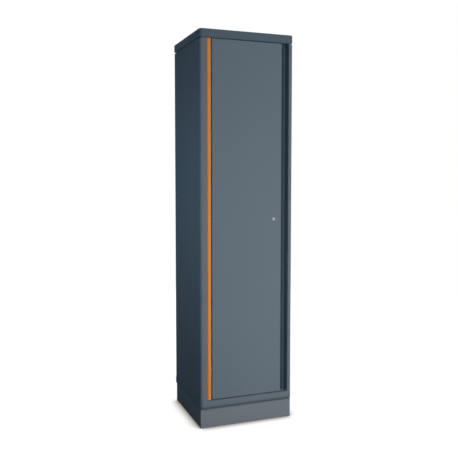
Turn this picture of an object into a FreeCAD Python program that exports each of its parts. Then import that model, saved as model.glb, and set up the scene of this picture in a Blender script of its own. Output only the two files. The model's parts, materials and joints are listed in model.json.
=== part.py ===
import FreeCAD, Part
import os
from types import SimpleNamespace

import Sketcher

# A tall steel side locker with one door, in millimetres. Z is up, the door faces -Y and its hinges
# are on the -X side. The origin is the centre of the floor rectangle that the locker covers.

DIMENSIONS = {
    # the whole locker
    "width": 500,
    "depth": 450,
    "height": 1970,
    "sheet": 1.2,
    "rail_sheet": 1.5,
    # plinth, base tray and cap
    "plinth_height": 98,
    "plinth_side_inset": 4,
    "plinth_setback": 9,
    "plinth_rear_inset": 5,
    "plinth_flange": 20,
    "base_height": 40,
    "base_flange": 30,
    "cap_height": 40,
    "cap_flange": 17,
    "cap_edge_radius": 2,
    "corner_radius": 20,
    "rear_corner_radius": 3,
    "reveal_height": 6,
    "reveal_inset": 8,
    "neck_radius": 12,
    "top_flange": 24,
    # side panels with their front posts
    "side_inset": 1.5,
    "post_radius": 15,
    "left_post": 37,
    "right_post": 23,
    "strip_groove": 21,
    "groove_depth": 9,
    "hinge_stop_depth": 32,
    "hinge_stop_width": 30.5,
    "lock_stop_width": 26,
    "rear_flange": 20,
    # accent strip
    "strip_width": 20.4,
    "strip_thickness": 8,
    "strip_radius": 6,
    # back panel
    "bead_spacing": 240,
    "bead_width": 30,
    "bead_slope": 5,
    "bead_height": 2.4,
    "back_gap": 0.5,
    "rivet_radius": 1.6,
    "rivet_head_radius": 3.2,
    "rivet_head_height": 1,
    "rivet_edge": 11,
    "rivet_end": 60,
    "wall_hole_radius": 4.5,
    "wall_hole_spacing": 380,
    "wall_hole_drop": 90,
    # rails behind the door's top and bottom
    "header_height": 44,
    "sill_height": 42,
    "rail_depth": 18,
    "door_stop_gap": 2,
    # door
    "door_setback": 3,
    "door_thickness": 20,
    "door_top_gap": 5,
    "door_bottom_gap": 6,
    "hinge_side_gap": 3,
    "lock_side_gap": 2.5,
    "skin_hinge_radius": 4,
    "skin_grip_radius": 3,
    "grip_width": 36,
    "grip_undercut": 8,
    "grip_hem": 6,
    "grip_slope": 7,
    "grip_lip": 2,
    "grip_lip_setback": 1,
    "weld_flange": 14,
    "grip_rear_flange": 16,
    "pan_hinge_gap": 29.5,
    "pan_seam": 0.3,
    # hinges
    "hinge_inset": 12,
    "hinge_depth": 10,
    "hinge_end_distance": 150,
    "pin_radius": 3,
    "pin_length": 22,
    "pin_head_radius": 4.5,
    "pin_head_height": 1.6,
    "pin_clearance": 0.08,
    "eye_radius": 6,
    "lug_thickness": 5,
    "lug_offset": 8,
    "lug_width": 9,
    "leaf_width": 24,
    "leaf_height": 50,
    "leaf_thickness": 2.5,
    "leaf_offset": 1.5,
    "ear_gap": 0.3,
    "ear_thickness": 3,
    "ear_reach": 8.5,
    "socket_left": 8,
    "socket_right": 14,
    "socket_web": 2,
    "socket_height": 34,
    "notch_clearance": 1.5,
    "notch_reach": 3,
    "hinge_screw_spacing": 34,
    # lock
    "lock_height": 1042,
    "lock_edge_distance": 42,
    "bezel_radius": 8.5,
    "bezel_height": 2.5,
    "housing_radius": 7.5,
    "housing_length": 25.5,
    "housing_clearance": 0.2,
    "plug_radius": 5.5,
    "plug_clearance": 0.05,
    "plug_sink": 0.3,
    "plug_projection": 0.3,
    "keyway_width": 1.4,
    "keyway_height": 6,
    "keyway_depth": 3,
    "nut_radius": 11,
    "nut_thickness": 3.5,
    "tail_width": 6,
    "cam_thickness": 3,
    "cam_throw": 13,
    "cam_pin_radius": 2,
    "cam_pin_length": 4.5,
    "cam_edge": 3,
    "cam_screw_radius": 4,
    "cam_screw_height": 2.5,
    "cam_screw_shank": 1.5,
    "cam_screw_length": 8,
    # locking rods and their guides
    "rod_thickness": 3,
    "rod_wall": 1.6,
    "rod_gap": 0.5,
    "rod_end": 7,
    "rod_tip_radius": 4,
    "rod_slot_clearance": 0.6,
    "rod_retract_gap": 4,
    "keeper_clearance": 2,
    "guide_clearance": 0.4,
    "guide_wall": 3,
    "guide_height": 14,
    "guide_ear": 9,
    "guide_plate": 2.5,
    "guide_end_distance": 45,
    "guide_lock_distance": 180,
    # shelf uprights, shelves and clips
    "upright_width": 30,
    "upright_projection": 12,
    "front_upright_setback": 75,
    "rear_upright_setback": 30,
    "slot_start": 22,
    "slot_pitch": 50,
    "slot_width": 5,
    "slot_height": 12,
    "shelf_side_gap": 1,
    "shelf_front_setback": 57,
    "shelf_rear_gap": 6,
    "shelf_flange": 25,
    "shelf_edge_radius": 2,
    "clip_reach": 13,
    "clip_width": 14,
    "clip_plate": 1.5,
    "clip_tongue": 2,
    "clip_hook": 4,
    "clip_hook_height": 6,
    "clip_slack": 0.5,
    # screws and buffers
    "screw_radius": 2,
    "screw_head_radius": 3.6,
    "screw_head_height": 1.5,
    "screw_length": 6,
    "head_taper": 0.7,
    "plinth_screw_inset": 65,
    "cap_screw_inset": 13.5,
    "cap_screw_spread": 150,
    "buffer_radius": 5,
    "buffer_stem_radius": 2.5,
    "buffer_stem_length": 4,
    "buffer_gap": 0.3,
    "buffer_end_distance": 260,
}

RIVETS_PER_EDGE = 8
SHELF_SLOTS = (7, 14, 21, 28)
OUT = "parts"
TOLERANCE = 1e-6

doc = FreeCAD.newDocument("side_locker")


# ---- sizes that carry their own spreadsheet expression


class Size:
    """A number, with the expression that works it out from the sheet."""

    def __init__(self, value, text=None):
        self.value = float(value)
        self.text = text if text else f"({float(value)!r})"
        self.tied = text is not None

    def merge(self, other, sign, value):
        other = as_size(other)
        if self.tied or other.tied:
            return Size(value(self.value, other.value), f"({self.text} {sign} {other.text})")
        return Size(value(self.value, other.value))

    def __add__(self, other):
        return self.merge(other, "+", lambda a, b: a + b)

    def __sub__(self, other):
        return self.merge(other, "-", lambda a, b: a - b)

    def __mul__(self, other):
        return self.merge(other, "*", lambda a, b: a * b)

    def __truediv__(self, other):
        return self.merge(other, "/", lambda a, b: a / b)

    def __radd__(self, other):
        return as_size(other) + self

    def __rsub__(self, other):
        return as_size(other) - self

    def __rmul__(self, other):
        return as_size(other) * self

    def __neg__(self):
        return self * -1


def as_size(value):
    return value if isinstance(value, Size) else Size(value)


def span(first, second):
    """Two places in rising order."""
    return tuple(sorted((as_size(first), as_size(second)), key=lambda size: size.value))


def root(value):
    """The square root of a size."""
    value = as_size(value)
    return Size(value.value**0.5, f"sqrt({value.text})")


def make_sheet():
    """Writes the driving dimensions to a spreadsheet and gives them back as sizes."""
    sheet = doc.addObject("Spreadsheet::Sheet", "Sizes")
    for row, (name, value) in enumerate(DIMENSIONS.items(), 1):
        sheet.set(f"A{row}", name)
        sheet.set(f"B{row}", str(value))
        sheet.setAlias(f"B{row}", name)
    doc.recompute()
    return SimpleNamespace(**{name: Size(value, f"Sizes.{name}") for name, value in DIMENSIONS.items()})


def bind(thing, prop, value):
    thing.setExpression(prop, as_size(value).text)


# ---- modelling helpers

TURNS = {
    "+Z": FreeCAD.Rotation(),
    "-Z": FreeCAD.Rotation(FreeCAD.Vector(1, 0, 0), 180),
    "+Y": FreeCAD.Rotation(FreeCAD.Vector(1, 0, 0), -90),
    "-Y": FreeCAD.Rotation(FreeCAD.Vector(1, 0, 0), 90),
    "+X": FreeCAD.Rotation(FreeCAD.Vector(0, 1, 0), 90),
    "-X": FreeCAD.Rotation(FreeCAD.Vector(0, 1, 0), -90),
}


def place(thing, x, y, z, turn="+Z"):
    thing.Placement = FreeCAD.Placement(FreeCAD.Vector(), TURNS[turn])
    for axis, value in zip("xyz", (x, y, z)):
        bind(thing, f"Placement.Base.{axis}", value)
    return thing


def block(name, xs, ys, zs):
    """A box between two places along each axis."""
    box = doc.addObject("Part::Box", name)
    for prop, (low, high) in zip(("Length", "Width", "Height"), (xs, ys, zs)):
        bind(box, prop, as_size(high) - low)
    return place(box, xs[0], ys[0], zs[0])


def rod(name, start, direction, radius, length):
    """A cylinder from its start along one of the signed axes."""
    cylinder = doc.addObject("Part::Cylinder", name)
    bind(cylinder, "Radius", radius)
    bind(cylinder, "Height", length)
    return place(cylinder, *start, direction)


def fuse(name, *shapes):
    joined = doc.addObject("Part::MultiFuse", name)
    joined.Shapes = list(shapes)
    joined.Refine = True
    return joined


def cut(name, base, *tools):
    whole = doc.addObject("Part::Cut", name)
    whole.Base = base
    whole.Tool = tools[0] if len(tools) == 1 else fuse(f"{name}_tools", *tools)
    whole.Refine = True
    return whole


def group(name, solids):
    """Separate identical solids that share one node."""
    compound = doc.addObject("Part::Compound", name)
    compound.Links = list(solids)
    return compound


def sketch_on(body, plane, low, high, loops, circles):
    """A sketch at the side of the slab low to high from which a feature grows along its normal."""
    sketch = body.newObject("Sketcher::SketchObject", f"{body.Name}_sketch")
    support = next(item for item in body.Origin.OriginFeatures if item.Role == f"{plane}_Plane")
    sketch.AttachmentSupport = (support, [""])
    sketch.MapMode = "FlatFace"
    # The XZ plane's normal is -Y, so there the slab's high side comes first.
    bind(sketch, "AttachmentOffset.Base.z", -high if plane == "XZ" else low)
    for loop in loops:
        first = sketch.GeometryCount
        count = len(loop)
        corners = [FreeCAD.Vector(as_size(x).value, as_size(y).value, 0) for x, y in loop]
        for i in range(count):
            sketch.addGeometry(Part.LineSegment(corners[i], corners[(i + 1) % count]), False)
        for i in range(count):
            sketch.addConstraint(Sketcher.Constraint("Coincident", first + i, 2, first + (i + 1) % count, 1))
        for i, (x, y) in enumerate(loop):
            fix_point(sketch, first + i, 1, x, y)
    for x, y, radius in circles:
        centre = FreeCAD.Vector(as_size(x).value, as_size(y).value, 0)
        circle = Part.Circle(centre, FreeCAD.Vector(0, 0, 1), as_size(radius).value)
        index = sketch.addGeometry(circle, False)
        fix_point(sketch, index, 3, x, y)
        constraint = sketch.addConstraint(Sketcher.Constraint("Radius", index, as_size(radius).value))
        bind(sketch, f"Constraints[{constraint}]", radius)
    return sketch


def fix_point(sketch, index, end, x, y):
    for kind, value in (("DistanceX", x), ("DistanceY", y)):
        value = as_size(value)
        constraint = sketch.addConstraint(Sketcher.Constraint(kind, -1, 1, index, end, value.value))
        bind(sketch, f"Constraints[{constraint}]", value)


def grow(body, kind, plane, low, high, loops, circles):
    sketch = sketch_on(body, plane, low, high, loops, circles)
    feature = body.newObject(f"PartDesign::{kind}", f"{body.Name}_{kind.lower()}")
    feature.Profile = sketch
    bind(feature, "Length", high - low)
    body.Tip = feature
    return feature


def prism(name, plane, low, high, loops, circles=()):
    """A new body, padded from closed loops between two places along the plane's normal."""
    body = doc.addObject("PartDesign::Body", name)
    grow(body, "Pad", plane, as_size(low), as_size(high), loops, circles)
    return body


def pocket(body, plane, low, high, loops, circles=()):
    """Cuts the slab low to high out of a body, and makes sure that it took something away."""
    doc.recompute()
    before = body.Shape.Volume
    feature = grow(body, "Pocket", plane, as_size(low), as_size(high), loops, circles)
    feature.Reversed = True
    doc.recompute()
    if body.Shape.Volume > before - TOLERANCE:
        raise RuntimeError(f"a pocket in {body.Name} cuts nothing")
    return feature


def repeat(body, feature, role, length, count):
    """Copies a feature evenly along one of the body's own axes."""
    pattern = body.newObject("PartDesign::LinearPattern", f"{body.Name}_pattern")
    pattern.Originals = [feature]
    axis = next(item for item in body.Origin.OriginFeatures if item.Role == role)
    pattern.Direction = (axis, [""])
    bind(pattern, "Length", length)
    pattern.Occurrences = count
    body.Tip = pattern


def edges_along(shape, axis, places):
    """The names of the straight edges along an axis that pass through places in the plane across it."""
    across = [i for i in range(3) if i != "XYZ".index(axis)]
    wanted = [tuple(as_size(value).value for value in spot) for spot in places]
    names = []
    for number, edge in enumerate(shape.Edges, 1):
        ends = [vertex.Point for vertex in edge.Vertexes]
        if len(ends) != 2:
            continue
        spots = [(end[across[0]], end[across[1]]) for end in ends]
        if any(all(abs(s[0] - w[0]) + abs(s[1] - w[1]) < TOLERANCE for s in spots) for w in wanted):
            names.append(f"Edge{number}")
    if len(names) < len(wanted):
        raise RuntimeError(f"{len(names)} edges found for {len(wanted)} places")
    return names


def round_edges(body, axis, places, radius):
    """Rounds a body's edges along an axis."""
    doc.recompute()
    finish_edges(body, edges_along(body.Shape, axis, places), radius)


def finish_edges(body, names, radius):
    tip = body.Tip
    fillet = body.newObject("PartDesign::Fillet", f"{body.Name}_fillet")
    fillet.Base = (tip, names)
    bind(fillet, "Radius", radius)
    body.Tip = fillet
    doc.recompute()
    if "Invalid" in fillet.State:
        raise RuntimeError(f"a rounding of {as_size(radius).value} in {body.Name} fails")


def round_rim(body, level, radius):
    """Rounds the outer edges of a body's face at a height."""
    doc.recompute()
    faces = [
        face for face in body.Shape.Faces
        if abs(face.BoundBox.ZMin - level.value) + abs(face.BoundBox.ZMax - level.value) < TOLERANCE
    ]
    rim = max(faces, key=lambda face: face.Area).OuterWire
    names = [
        f"Edge{number}" for number, edge in enumerate(body.Shape.Edges, 1)
        if any(edge.isSame(other) for other in rim.Edges)
    ]
    finish_edges(body, names, radius)


def left_normal(start, end):
    """The unit vector to the left of the way from start to end."""
    dx, dy = as_size(end[0]) - start[0], as_size(end[1]) - start[1]
    if abs(dx.value) < TOLERANCE:
        return (-1 if dy.value > 0 else 1, 0)
    if abs(dy.value) < TOLERANCE:
        return (0, 1 if dx.value > 0 else -1)
    length = root(dx * dx + dy * dy)
    return (-dy / length, dx / length)


def shifted(point, before, after, distance):
    """A corner moved so that both of its sides move left by a distance."""
    if before[0] == after[0] and before[1] == after[1]:
        shift = before
    else:
        spread = before[0] * after[0] + before[1] * after[1] + 1
        shift = ((before[0] + after[0]) / spread, (before[1] + after[1]) / spread)
    moved = []
    for value, step in zip(point, shift):
        step = as_size(step)
        moved.append(as_size(value) if step.value == 0 and not step.tied else value + distance * step)
    return tuple(moved)


def far_side(path, thickness):
    """The other face of a bent sheet, to the left of the path."""
    normals = [left_normal(a, b) for a, b in zip(path, path[1:])]
    normals = [normals[0]] + normals + [normals[-1]]
    return [shifted(point, normals[i], normals[i + 1], thickness) for i, point in enumerate(path)]


def inset(loop, distance):
    """A counter-clockwise loop moved inwards."""
    count = len(loop)
    normals = [left_normal(loop[i], loop[(i + 1) % count]) for i in range(count)]
    return [shifted(point, normals[i - 1], normals[i], distance) for i, point in enumerate(loop)]


def rectangle(xs, ys):
    """A counter-clockwise loop that starts at the low corner."""
    return [(xs[0], ys[0]), (xs[1], ys[0]), (xs[1], ys[1]), (xs[0], ys[1])]


def bent_sheet(name, plane, low, high, path, thickness, bends=None):
    """A sheet bent along a path and extruded from low to high; bends gives outer radii by corner."""
    far = far_side(path, thickness)
    body = prism(name, plane, low, high, [list(path) + far[::-1]])
    axis = {"XY": "Z", "YZ": "X", "XZ": "Y"}[plane]
    for corner, radius in (bends or {}).items():
        normal = left_normal(path[corner - 1], path[corner])
        here, there = path[corner], path[corner + 1]
        ahead = as_size(there[0]) - here[0], as_size(there[1]) - here[1]
        turn = sum(as_size(n * a).value for n, a in zip(normal, ahead))
        outer, inner = (path, far) if turn > 0 else (far, path)
        # The inside is rounded first, so that the outer radius never meets a sharp inner corner.
        round_edges(body, axis, [inner[corner]], radius - thickness)
        round_edges(body, axis, [outer[corner]], radius)
    return body


def headed(name, seat, direction, head_radius, head_height, shank_radius, shank_length):
    """A fastener: its head stands back from the seat and its shank goes along the direction."""
    back = direction.translate(str.maketrans("+-", "-+"))
    head = doc.addObject("Part::Cone", f"{name}_head")
    bind(head, "Radius1", head_radius)
    bind(head, "Radius2", head_radius * d.head_taper)
    bind(head, "Height", head_height)
    place(head, *seat, back)
    return fuse(name, head, rod(f"{name}_shank", seat, direction, shank_radius, shank_length))


def screw(name, seat, direction):
    return headed(
        name, seat, direction, d.screw_head_radius, d.screw_head_height, d.screw_radius, d.screw_length
    )


# ---- shared places

d = make_sheet()

half_width = d.width / 2
front = -(d.depth / 2)
rear = d.depth / 2
side_x = half_width - d.side_inset
inner_x = side_x - d.sheet
post_front = front + d.side_inset
rear_face = rear - d.side_inset
back_rear = rear_face - d.sheet
back_front = back_rear - d.sheet
base_top = d.plinth_height + d.base_height
cap_bottom = d.height - d.cap_height
panel_top = cap_bottom - d.reveal_height
roof_under = cap_bottom - d.sheet

groove_left = d.left_post - side_x
groove_floor = post_front + d.groove_depth
jamb_left = groove_left + d.strip_groove
jamb_right = side_x - d.right_post

door_front = front + d.door_setback
door_back = door_front + d.door_thickness
door_left = jamb_left + d.hinge_side_gap
door_right = jamb_right - d.lock_side_gap
door_top = cap_bottom - d.door_top_gap
door_bottom = base_top + d.door_bottom_gap
skin_inside = door_front + d.sheet
skin_edge = door_right - d.grip_width
channel_left = skin_edge - d.grip_undercut
channel_back = door_back - d.sheet - d.sheet
pan_front = door_back - d.sheet

hinge_stop = door_front + d.hinge_stop_depth
stop_edge = jamb_left + d.hinge_stop_width
lock_stop = door_back + d.door_stop_gap
lock_stop_edge = jamb_right - d.lock_stop_width
rail_back = lock_stop + d.rail_depth
header_bottom = roof_under - d.header_height
sill_top = base_top + d.sill_height

pin_x = door_left + d.hinge_inset
pin_y = door_front + d.hinge_depth
hinge_levels = {
    "bottom": door_bottom + d.hinge_end_distance,
    "middle": (door_bottom + door_top) / 2,
    "top": door_top - d.hinge_end_distance,
}
leaf_front = hinge_stop - d.leaf_thickness
leaf_x = pin_x + d.leaf_offset

lock_x = skin_edge - d.lock_edge_distance
housing_back = door_front + d.housing_length
plug_back = housing_back + d.plug_projection
cam_back = plug_back + d.cam_thickness
rod_front = cam_back + d.rod_gap
rod_back = rod_front + d.rod_thickness
cam_side = d.cam_throw / root(2)
slot_half = d.cam_pin_radius + d.rod_slot_clearance
rod_near = cam_side - slot_half - d.rod_wall
rod_far = d.cam_throw + slot_half + d.rod_wall
upper_tip = header_bottom - d.rod_retract_gap
lower_tip = sill_top + d.rod_retract_gap

upright_face = inner_x - d.upright_projection
first_slot = base_top + d.slot_start
shelf_half = upright_face - d.shelf_side_gap
shelf_front = door_front + d.shelf_front_setback
shelf_back = back_front - d.shelf_rear_gap
shelf_levels = [first_slot + d.slot_pitch * slot + d.slot_height + d.clip_tongue for slot in SHELF_SLOTS]

nodes = {}


def keep(thing):
    """Notes a finished sub-part under its label."""
    nodes[thing.Label] = thing
    return thing


def hinge_screw_places():
    for level in hinge_levels.values():
        for side in (-1, 1):
            yield (leaf_x, leaf_front, level + d.hinge_screw_spacing / 2 * side)


def rivet_places(side):
    """Evenly spaced places up one edge of the back panel."""
    low, high = base_top + d.rivet_end, panel_top - d.rivet_end
    step = (high - low) / (RIVETS_PER_EDGE - 1)
    for number in range(RIVETS_PER_EDGE):
        yield ((side_x - d.rivet_edge) * side, rear_face, low + step * number)


def buffer_places():
    x = (jamb_right + lock_stop_edge) / 2
    low, high = base_top + d.buffer_end_distance, panel_top - d.buffer_end_distance
    return [(x, lock_stop, level) for level in (low, (low + high) / 2, high)]


def plinth_screw_places():
    """On the top flanges of the plinth's front and rear rails and of its two sides."""
    under = d.plinth_height - d.rail_sheet
    front_y = front + d.plinth_setback + d.plinth_flange / 2
    rear_y = rear - d.plinth_rear_inset - d.plinth_flange / 2
    x = half_width - d.plinth_screw_inset
    side = half_width - d.plinth_side_inset - d.plinth_flange / 2
    rails = [(x * s, y, under) for s in (-1, 1) for y in (front_y, rear_y)]
    return rails + [(side * s, 0, under) for s in (-1, 1)]


def cap_screw_places():
    """Along both sides and the rear of the roof plate, under the cap's flange."""
    x = half_width - d.cap_screw_inset
    y = rear - d.cap_screw_inset
    sides = [(x * s, d.cap_screw_spread * t, roof_under) for s in (-1, 1) for t in (-1, 1)]
    return sides + [(d.cap_screw_spread * s, y, roof_under) for s in (-1, 1)]


def holes(name, places, direction, radius, length):
    """Straight holes that start at the places."""
    return [rod(f"{name}_hole", spot, direction, radius, length) for spot in places]


# ---- plinth, base and cap


def make_plinth():
    """Four channel rails: the front and rear run the full width and the sides fit between them."""
    x = half_width - d.plinth_side_inset
    front_y, rear_y = front + d.plinth_setback, rear - d.plinth_rear_inset
    top = d.plinth_height
    flange = d.plinth_flange
    rails = {
        "plinth_front": [(front_y + flange, top), (front_y, top), (front_y, 0), (front_y + flange, 0)],
        "plinth_rear": [(rear_y - flange, 0), (rear_y, 0), (rear_y, top), (rear_y - flange, top)],
    }
    spots = plinth_screw_places()
    for name, path in rails.items():
        rail = bent_sheet(f"{name}_rail", "YZ", -x, x, path, d.rail_sheet)
        near = [spot for spot in spots if as_size(spot[1]).value * as_size(path[0][0]).value > 0]
        keep(cut(name, rail, *holes(name, near, "+Z", d.screw_radius, d.rail_sheet)))
    wall = (front_y + d.rail_sheet, rear_y - d.rail_sheet)
    flanges = (front_y + flange, rear_y - flange)
    for name, side in (("plinth_left", -1), ("plinth_right", 1)):
        ends = span(x * side, (x - d.rail_sheet) * side)
        reach = span(x * side, (x - flange) * side)
        rail = fuse(
            f"{name}_rail",
            block(f"{name}_wall", ends, wall, (d.rail_sheet, top - d.rail_sheet)),
            block(f"{name}_top", reach, flanges, (top - d.rail_sheet, top)),
            block(f"{name}_foot", reach, flanges, (as_size(0), d.rail_sheet)),
        )
        near = [spot for spot in spots if as_size(spot[1]).value == 0 and spot[0].value * side > 0]
        keep(cut(name, rail, *holes(name, near, "+Z", d.screw_radius, d.rail_sheet)))


def tray(name, low, high, flange):
    """A closed tray with the locker's rounded outline whose underside is open inside a flange."""
    outline = rectangle((-half_width, half_width), (front, rear))
    inside = inset(outline, d.sheet)
    body = prism(name, "XY", low, high, [outline])
    pocket(body, "XY", low + d.sheet, high - d.sheet, [inside])
    pocket(body, "XY", low, low + d.sheet, [inset(outline, flange)])
    round_edges(body, "Z", inside[:2], d.corner_radius - d.sheet)
    round_edges(body, "Z", outline[:2], d.corner_radius)
    round_edges(body, "Z", outline[2:], d.rear_corner_radius)
    return body


def make_base():
    body = tray("base_tray", d.plinth_height, base_top, d.base_flange)
    spots = [(x, y, d.plinth_height) for x, y, z in plinth_screw_places()]
    keep(cut("base_pan", body, *holes("base_pan", spots, "+Z", d.screw_radius, d.sheet)))


def make_cap():
    body = tray("cap_tray", cap_bottom, d.height, d.cap_flange)
    round_rim(body, d.height, d.cap_edge_radius)
    spots = [(x, y, cap_bottom) for x, y, z in cap_screw_places()]
    keep(cut("top_cap", body, *holes("top_cap", spots, "+Z", d.screw_radius, d.sheet)))


def make_top_frame():
    """The pan that closes the body: down flanges, a ledge, a set-back neck and the roof plate."""
    low = panel_top - d.top_flange
    inside = post_front + d.sheet
    outline = [
        (-inner_x, back_front), (-inner_x, inside), (groove_left - d.sheet, inside),
        (groove_left - d.sheet, groove_floor + d.sheet), (jamb_left - d.sheet, groove_floor + d.sheet),
        (jamb_left - d.sheet, rail_back), (jamb_right + d.sheet, rail_back),
        (jamb_right + d.sheet, inside), (inner_x, inside), (inner_x, back_front),
    ]
    neck = rectangle(
        (d.reveal_inset - half_width, half_width - d.reveal_inset),
        (front + d.reveal_inset, rear - d.reveal_inset),
    )
    under, neck_under = inset(outline, d.sheet), inset(neck, d.sheet)
    pan = prism("top_frame_pan", "XY", low, panel_top, [outline])
    pocket(pan, "XY", low, panel_top - d.sheet, [under])
    round_edges(pan, "Z", [under[1], under[8]], d.post_radius - d.sheet * 2)
    round_edges(pan, "Z", [outline[1], outline[8]], d.post_radius - d.sheet)
    pocket(pan, "XY", panel_top - d.sheet, panel_top, [neck_under])
    roof = prism("top_frame_roof", "XY", panel_top, cap_bottom, [neck])
    pocket(roof, "XY", panel_top, roof_under, [neck_under])
    round_edges(roof, "Z", neck_under[:2], d.neck_radius - d.sheet)
    round_edges(roof, "Z", neck[:2], d.neck_radius)
    doorway = block("top_frame_doorway", (jamb_left, jamb_right), (front, rail_back), (low, roof_under))
    screw_holes = holes("top_frame", cap_screw_places(), "+Z", d.screw_radius, d.sheet)
    keep(cut("top_frame", fuse("top_frame_whole", pan, roof), doorway, *screw_holes))


# ---- side panels, back, rails and strip


def make_left_side():
    """From the rear flange round the side and the post, down the strip's groove to the hinge stop."""
    path = [
        (d.rear_flange - side_x, rear_face), (-side_x, rear_face), (-side_x, post_front),
        (groove_left, post_front), (groove_left, groove_floor), (jamb_left, groove_floor),
        (jamb_left, hinge_stop), (stop_edge, hinge_stop), (stop_edge, rail_back),
    ]
    body = bent_sheet("left_wrap", "XY", base_top, panel_top, path, d.sheet, {2: d.post_radius})
    spots = [(x, hinge_stop, z) for x, y, z in hinge_screw_places()]
    tools = holes("left", spots, "+Y", d.screw_radius, d.sheet)
    tools += holes("left", rivet_places(-1), "-Y", d.rivet_radius, d.sheet)
    keep(cut("side_panel_left", body, *tools))


def make_right_side():
    """From the lock-side stop round the post and the side to the rear flange."""
    path = [
        (lock_stop_edge, rail_back), (lock_stop_edge, lock_stop), (jamb_right, lock_stop),
        (jamb_right, post_front), (side_x, post_front), (side_x, rear_face),
        (side_x - d.rear_flange, rear_face),
    ]
    body = bent_sheet("right_wrap", "XY", base_top, panel_top, path, d.sheet, {4: d.post_radius})
    tools = holes("right", buffer_places(), "+Y", d.buffer_stem_radius, d.sheet)
    tools += holes("right", rivet_places(1), "-Y", d.rivet_radius, d.sheet)
    keep(cut("side_panel_right", body, *tools))


def wall_holes():
    level = panel_top - d.wall_hole_drop
    return [(d.wall_hole_spacing / 2 * side, back_rear, level) for side in (-1, 1)]


def make_back():
    """A sheet between the rear flanges, with two pressed beads that stand out to the rear."""
    edge = inner_x - d.back_gap
    path = [(edge, back_rear)]
    for side in (1, -1):
        middle = d.bead_spacing / 2 * side
        half = d.bead_width / 2
        crown = back_rear + d.bead_height
        path += [
            (middle + half, back_rear), (middle + half - d.bead_slope, crown),
            (middle - half + d.bead_slope, crown), (middle - half, back_rear),
        ]
    path.append((-edge, back_rear))
    body = bent_sheet("back_sheet", "XY", base_top, panel_top, path, d.sheet)
    tools = holes("back", wall_holes(), "-Y", d.wall_hole_radius, d.sheet)
    for side in (-1, 1):
        spots = [(x, back_rear, z) for x, y, z in rivet_places(side)]
        tools += holes("back", spots, "-Y", d.rivet_radius, d.sheet)
    keep(cut("back_panel", body, *tools))


def keeper_slot(name, side, low, high):
    """The slot of a rail's flange through which a locking rod passes."""
    near, far = span(lock_x + rod_near * side, lock_x + rod_far * side)
    spare = d.keeper_clearance
    return block(name, (near - spare, far + spare), (rod_front - spare, rod_back + spare), (low, high))


def make_rails():
    """Channels that open to the rear, with the keeper slots in the flanges that face the doorway."""
    slots = {
        "header": keeper_slot("header_slot", 1, header_bottom, header_bottom + d.rail_sheet),
        "sill": keeper_slot("sill_slot", -1, sill_top - d.rail_sheet, sill_top),
    }
    for name, top, bottom in (("header", roof_under, header_bottom), ("sill", sill_top, base_top)):
        path = [(rail_back, top), (lock_stop, top), (lock_stop, bottom), (rail_back, bottom)]
        body = bent_sheet(f"{name}_channel", "YZ", stop_edge, lock_stop_edge, path, d.rail_sheet)
        keep(cut(f"{name}_rail", body, slots[name]))


def make_strip():
    """A crowned profile that lies in the left post's groove."""
    xs = (groove_left, groove_left + d.strip_width)
    outline = rectangle(xs, (groove_floor - d.strip_thickness, groove_floor))
    body = prism("accent_strip", "XY", door_bottom, panel_top, [outline])
    round_edges(body, "Z", outline[:2], d.strip_radius)
    keep(body)


# ---- shelves


def make_uprights():
    """Four slotted channels, a pair on each side."""
    bottom, top = base_top, panel_top - d.top_flange
    fronts = {
        "front": door_front + d.front_upright_setback,
        "rear": back_front - d.rear_upright_setback - d.upright_width,
    }
    count = int((top.value - first_slot.value - d.slot_height.value) / d.slot_pitch.value) + 1
    for side_name, side in (("left", -1), ("right", 1)):
        for end_name, low in fronts.items():
            high = low + d.upright_width
            path = [(-inner_x, low), (-upright_face, low), (-upright_face, high), (-inner_x, high)]
            if side > 0:
                path = [(inner_x, high), (upright_face, high), (upright_face, low), (inner_x, low)]
            name = f"upright_{end_name}_{side_name}"
            body = bent_sheet(name, "XY", bottom, top, path, d.rail_sheet)
            web = span(upright_face * side, (upright_face + d.rail_sheet) * side)
            middle = (low + high) / 2
            slot_ys = (middle - d.slot_width / 2, middle + d.slot_width / 2)
            slot = rectangle(slot_ys, (first_slot, first_slot + d.slot_height))
            feature = pocket(body, "YZ", web[0], web[1], [slot])
            repeat(body, feature, "Z_Axis", d.slot_pitch * (count - 1), count)
            keep(body)
    return [low + d.upright_width / 2 for low in fronts.values()]


def make_shelves():
    """Inverted pans, each with its front edge rounded."""
    for number, level in enumerate(shelf_levels, 1):
        outline = rectangle((-shelf_half, shelf_half), (shelf_front, shelf_back))
        top = level + d.shelf_flange
        body = prism(f"shelf_{number}", "XY", level, top, [outline])
        round_edges(body, "X", [(shelf_front, top)], d.shelf_edge_radius)
        pocket(body, "XY", level, top - d.sheet, [inset(outline, d.sheet)])
        keep(body)


def make_clips(middles):
    """Under each shelf four clips, each hooked into a slot of its upright."""
    for number, level in enumerate(shelf_levels, 1):
        clips = []
        for side in (-1, 1):
            for middle in middles:
                name = f"clip_{number}"
                hook_top = level - d.clip_tongue - (d.slot_height - d.clip_hook_height) / 2
                reach = (upright_face - d.clip_reach, upright_face)
                spans = {
                    "tongue": (reach, d.clip_width, (level - d.clip_tongue, level)),
                    "plate": (
                        (upright_face - d.clip_plate, upright_face), d.clip_width,
                        (level - d.clip_tongue - d.slot_height, level),
                    ),
                    "hook": (
                        (upright_face, upright_face + d.clip_hook), d.slot_width - d.clip_slack * 2,
                        (hook_top - d.clip_hook_height, hook_top),
                    ),
                }
                pieces = []
                for part, (xs, width, zs) in spans.items():
                    xs = span(xs[0] * side, xs[1] * side)
                    ys = (middle - width / 2, middle + width / 2)
                    pieces.append(block(f"{name}_{part}", xs, ys, zs))
                clips.append(fuse(f"{name}_clip", *pieces))
        keep(group(f"shelf_clips_{number}", clips))


# ---- door


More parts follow.
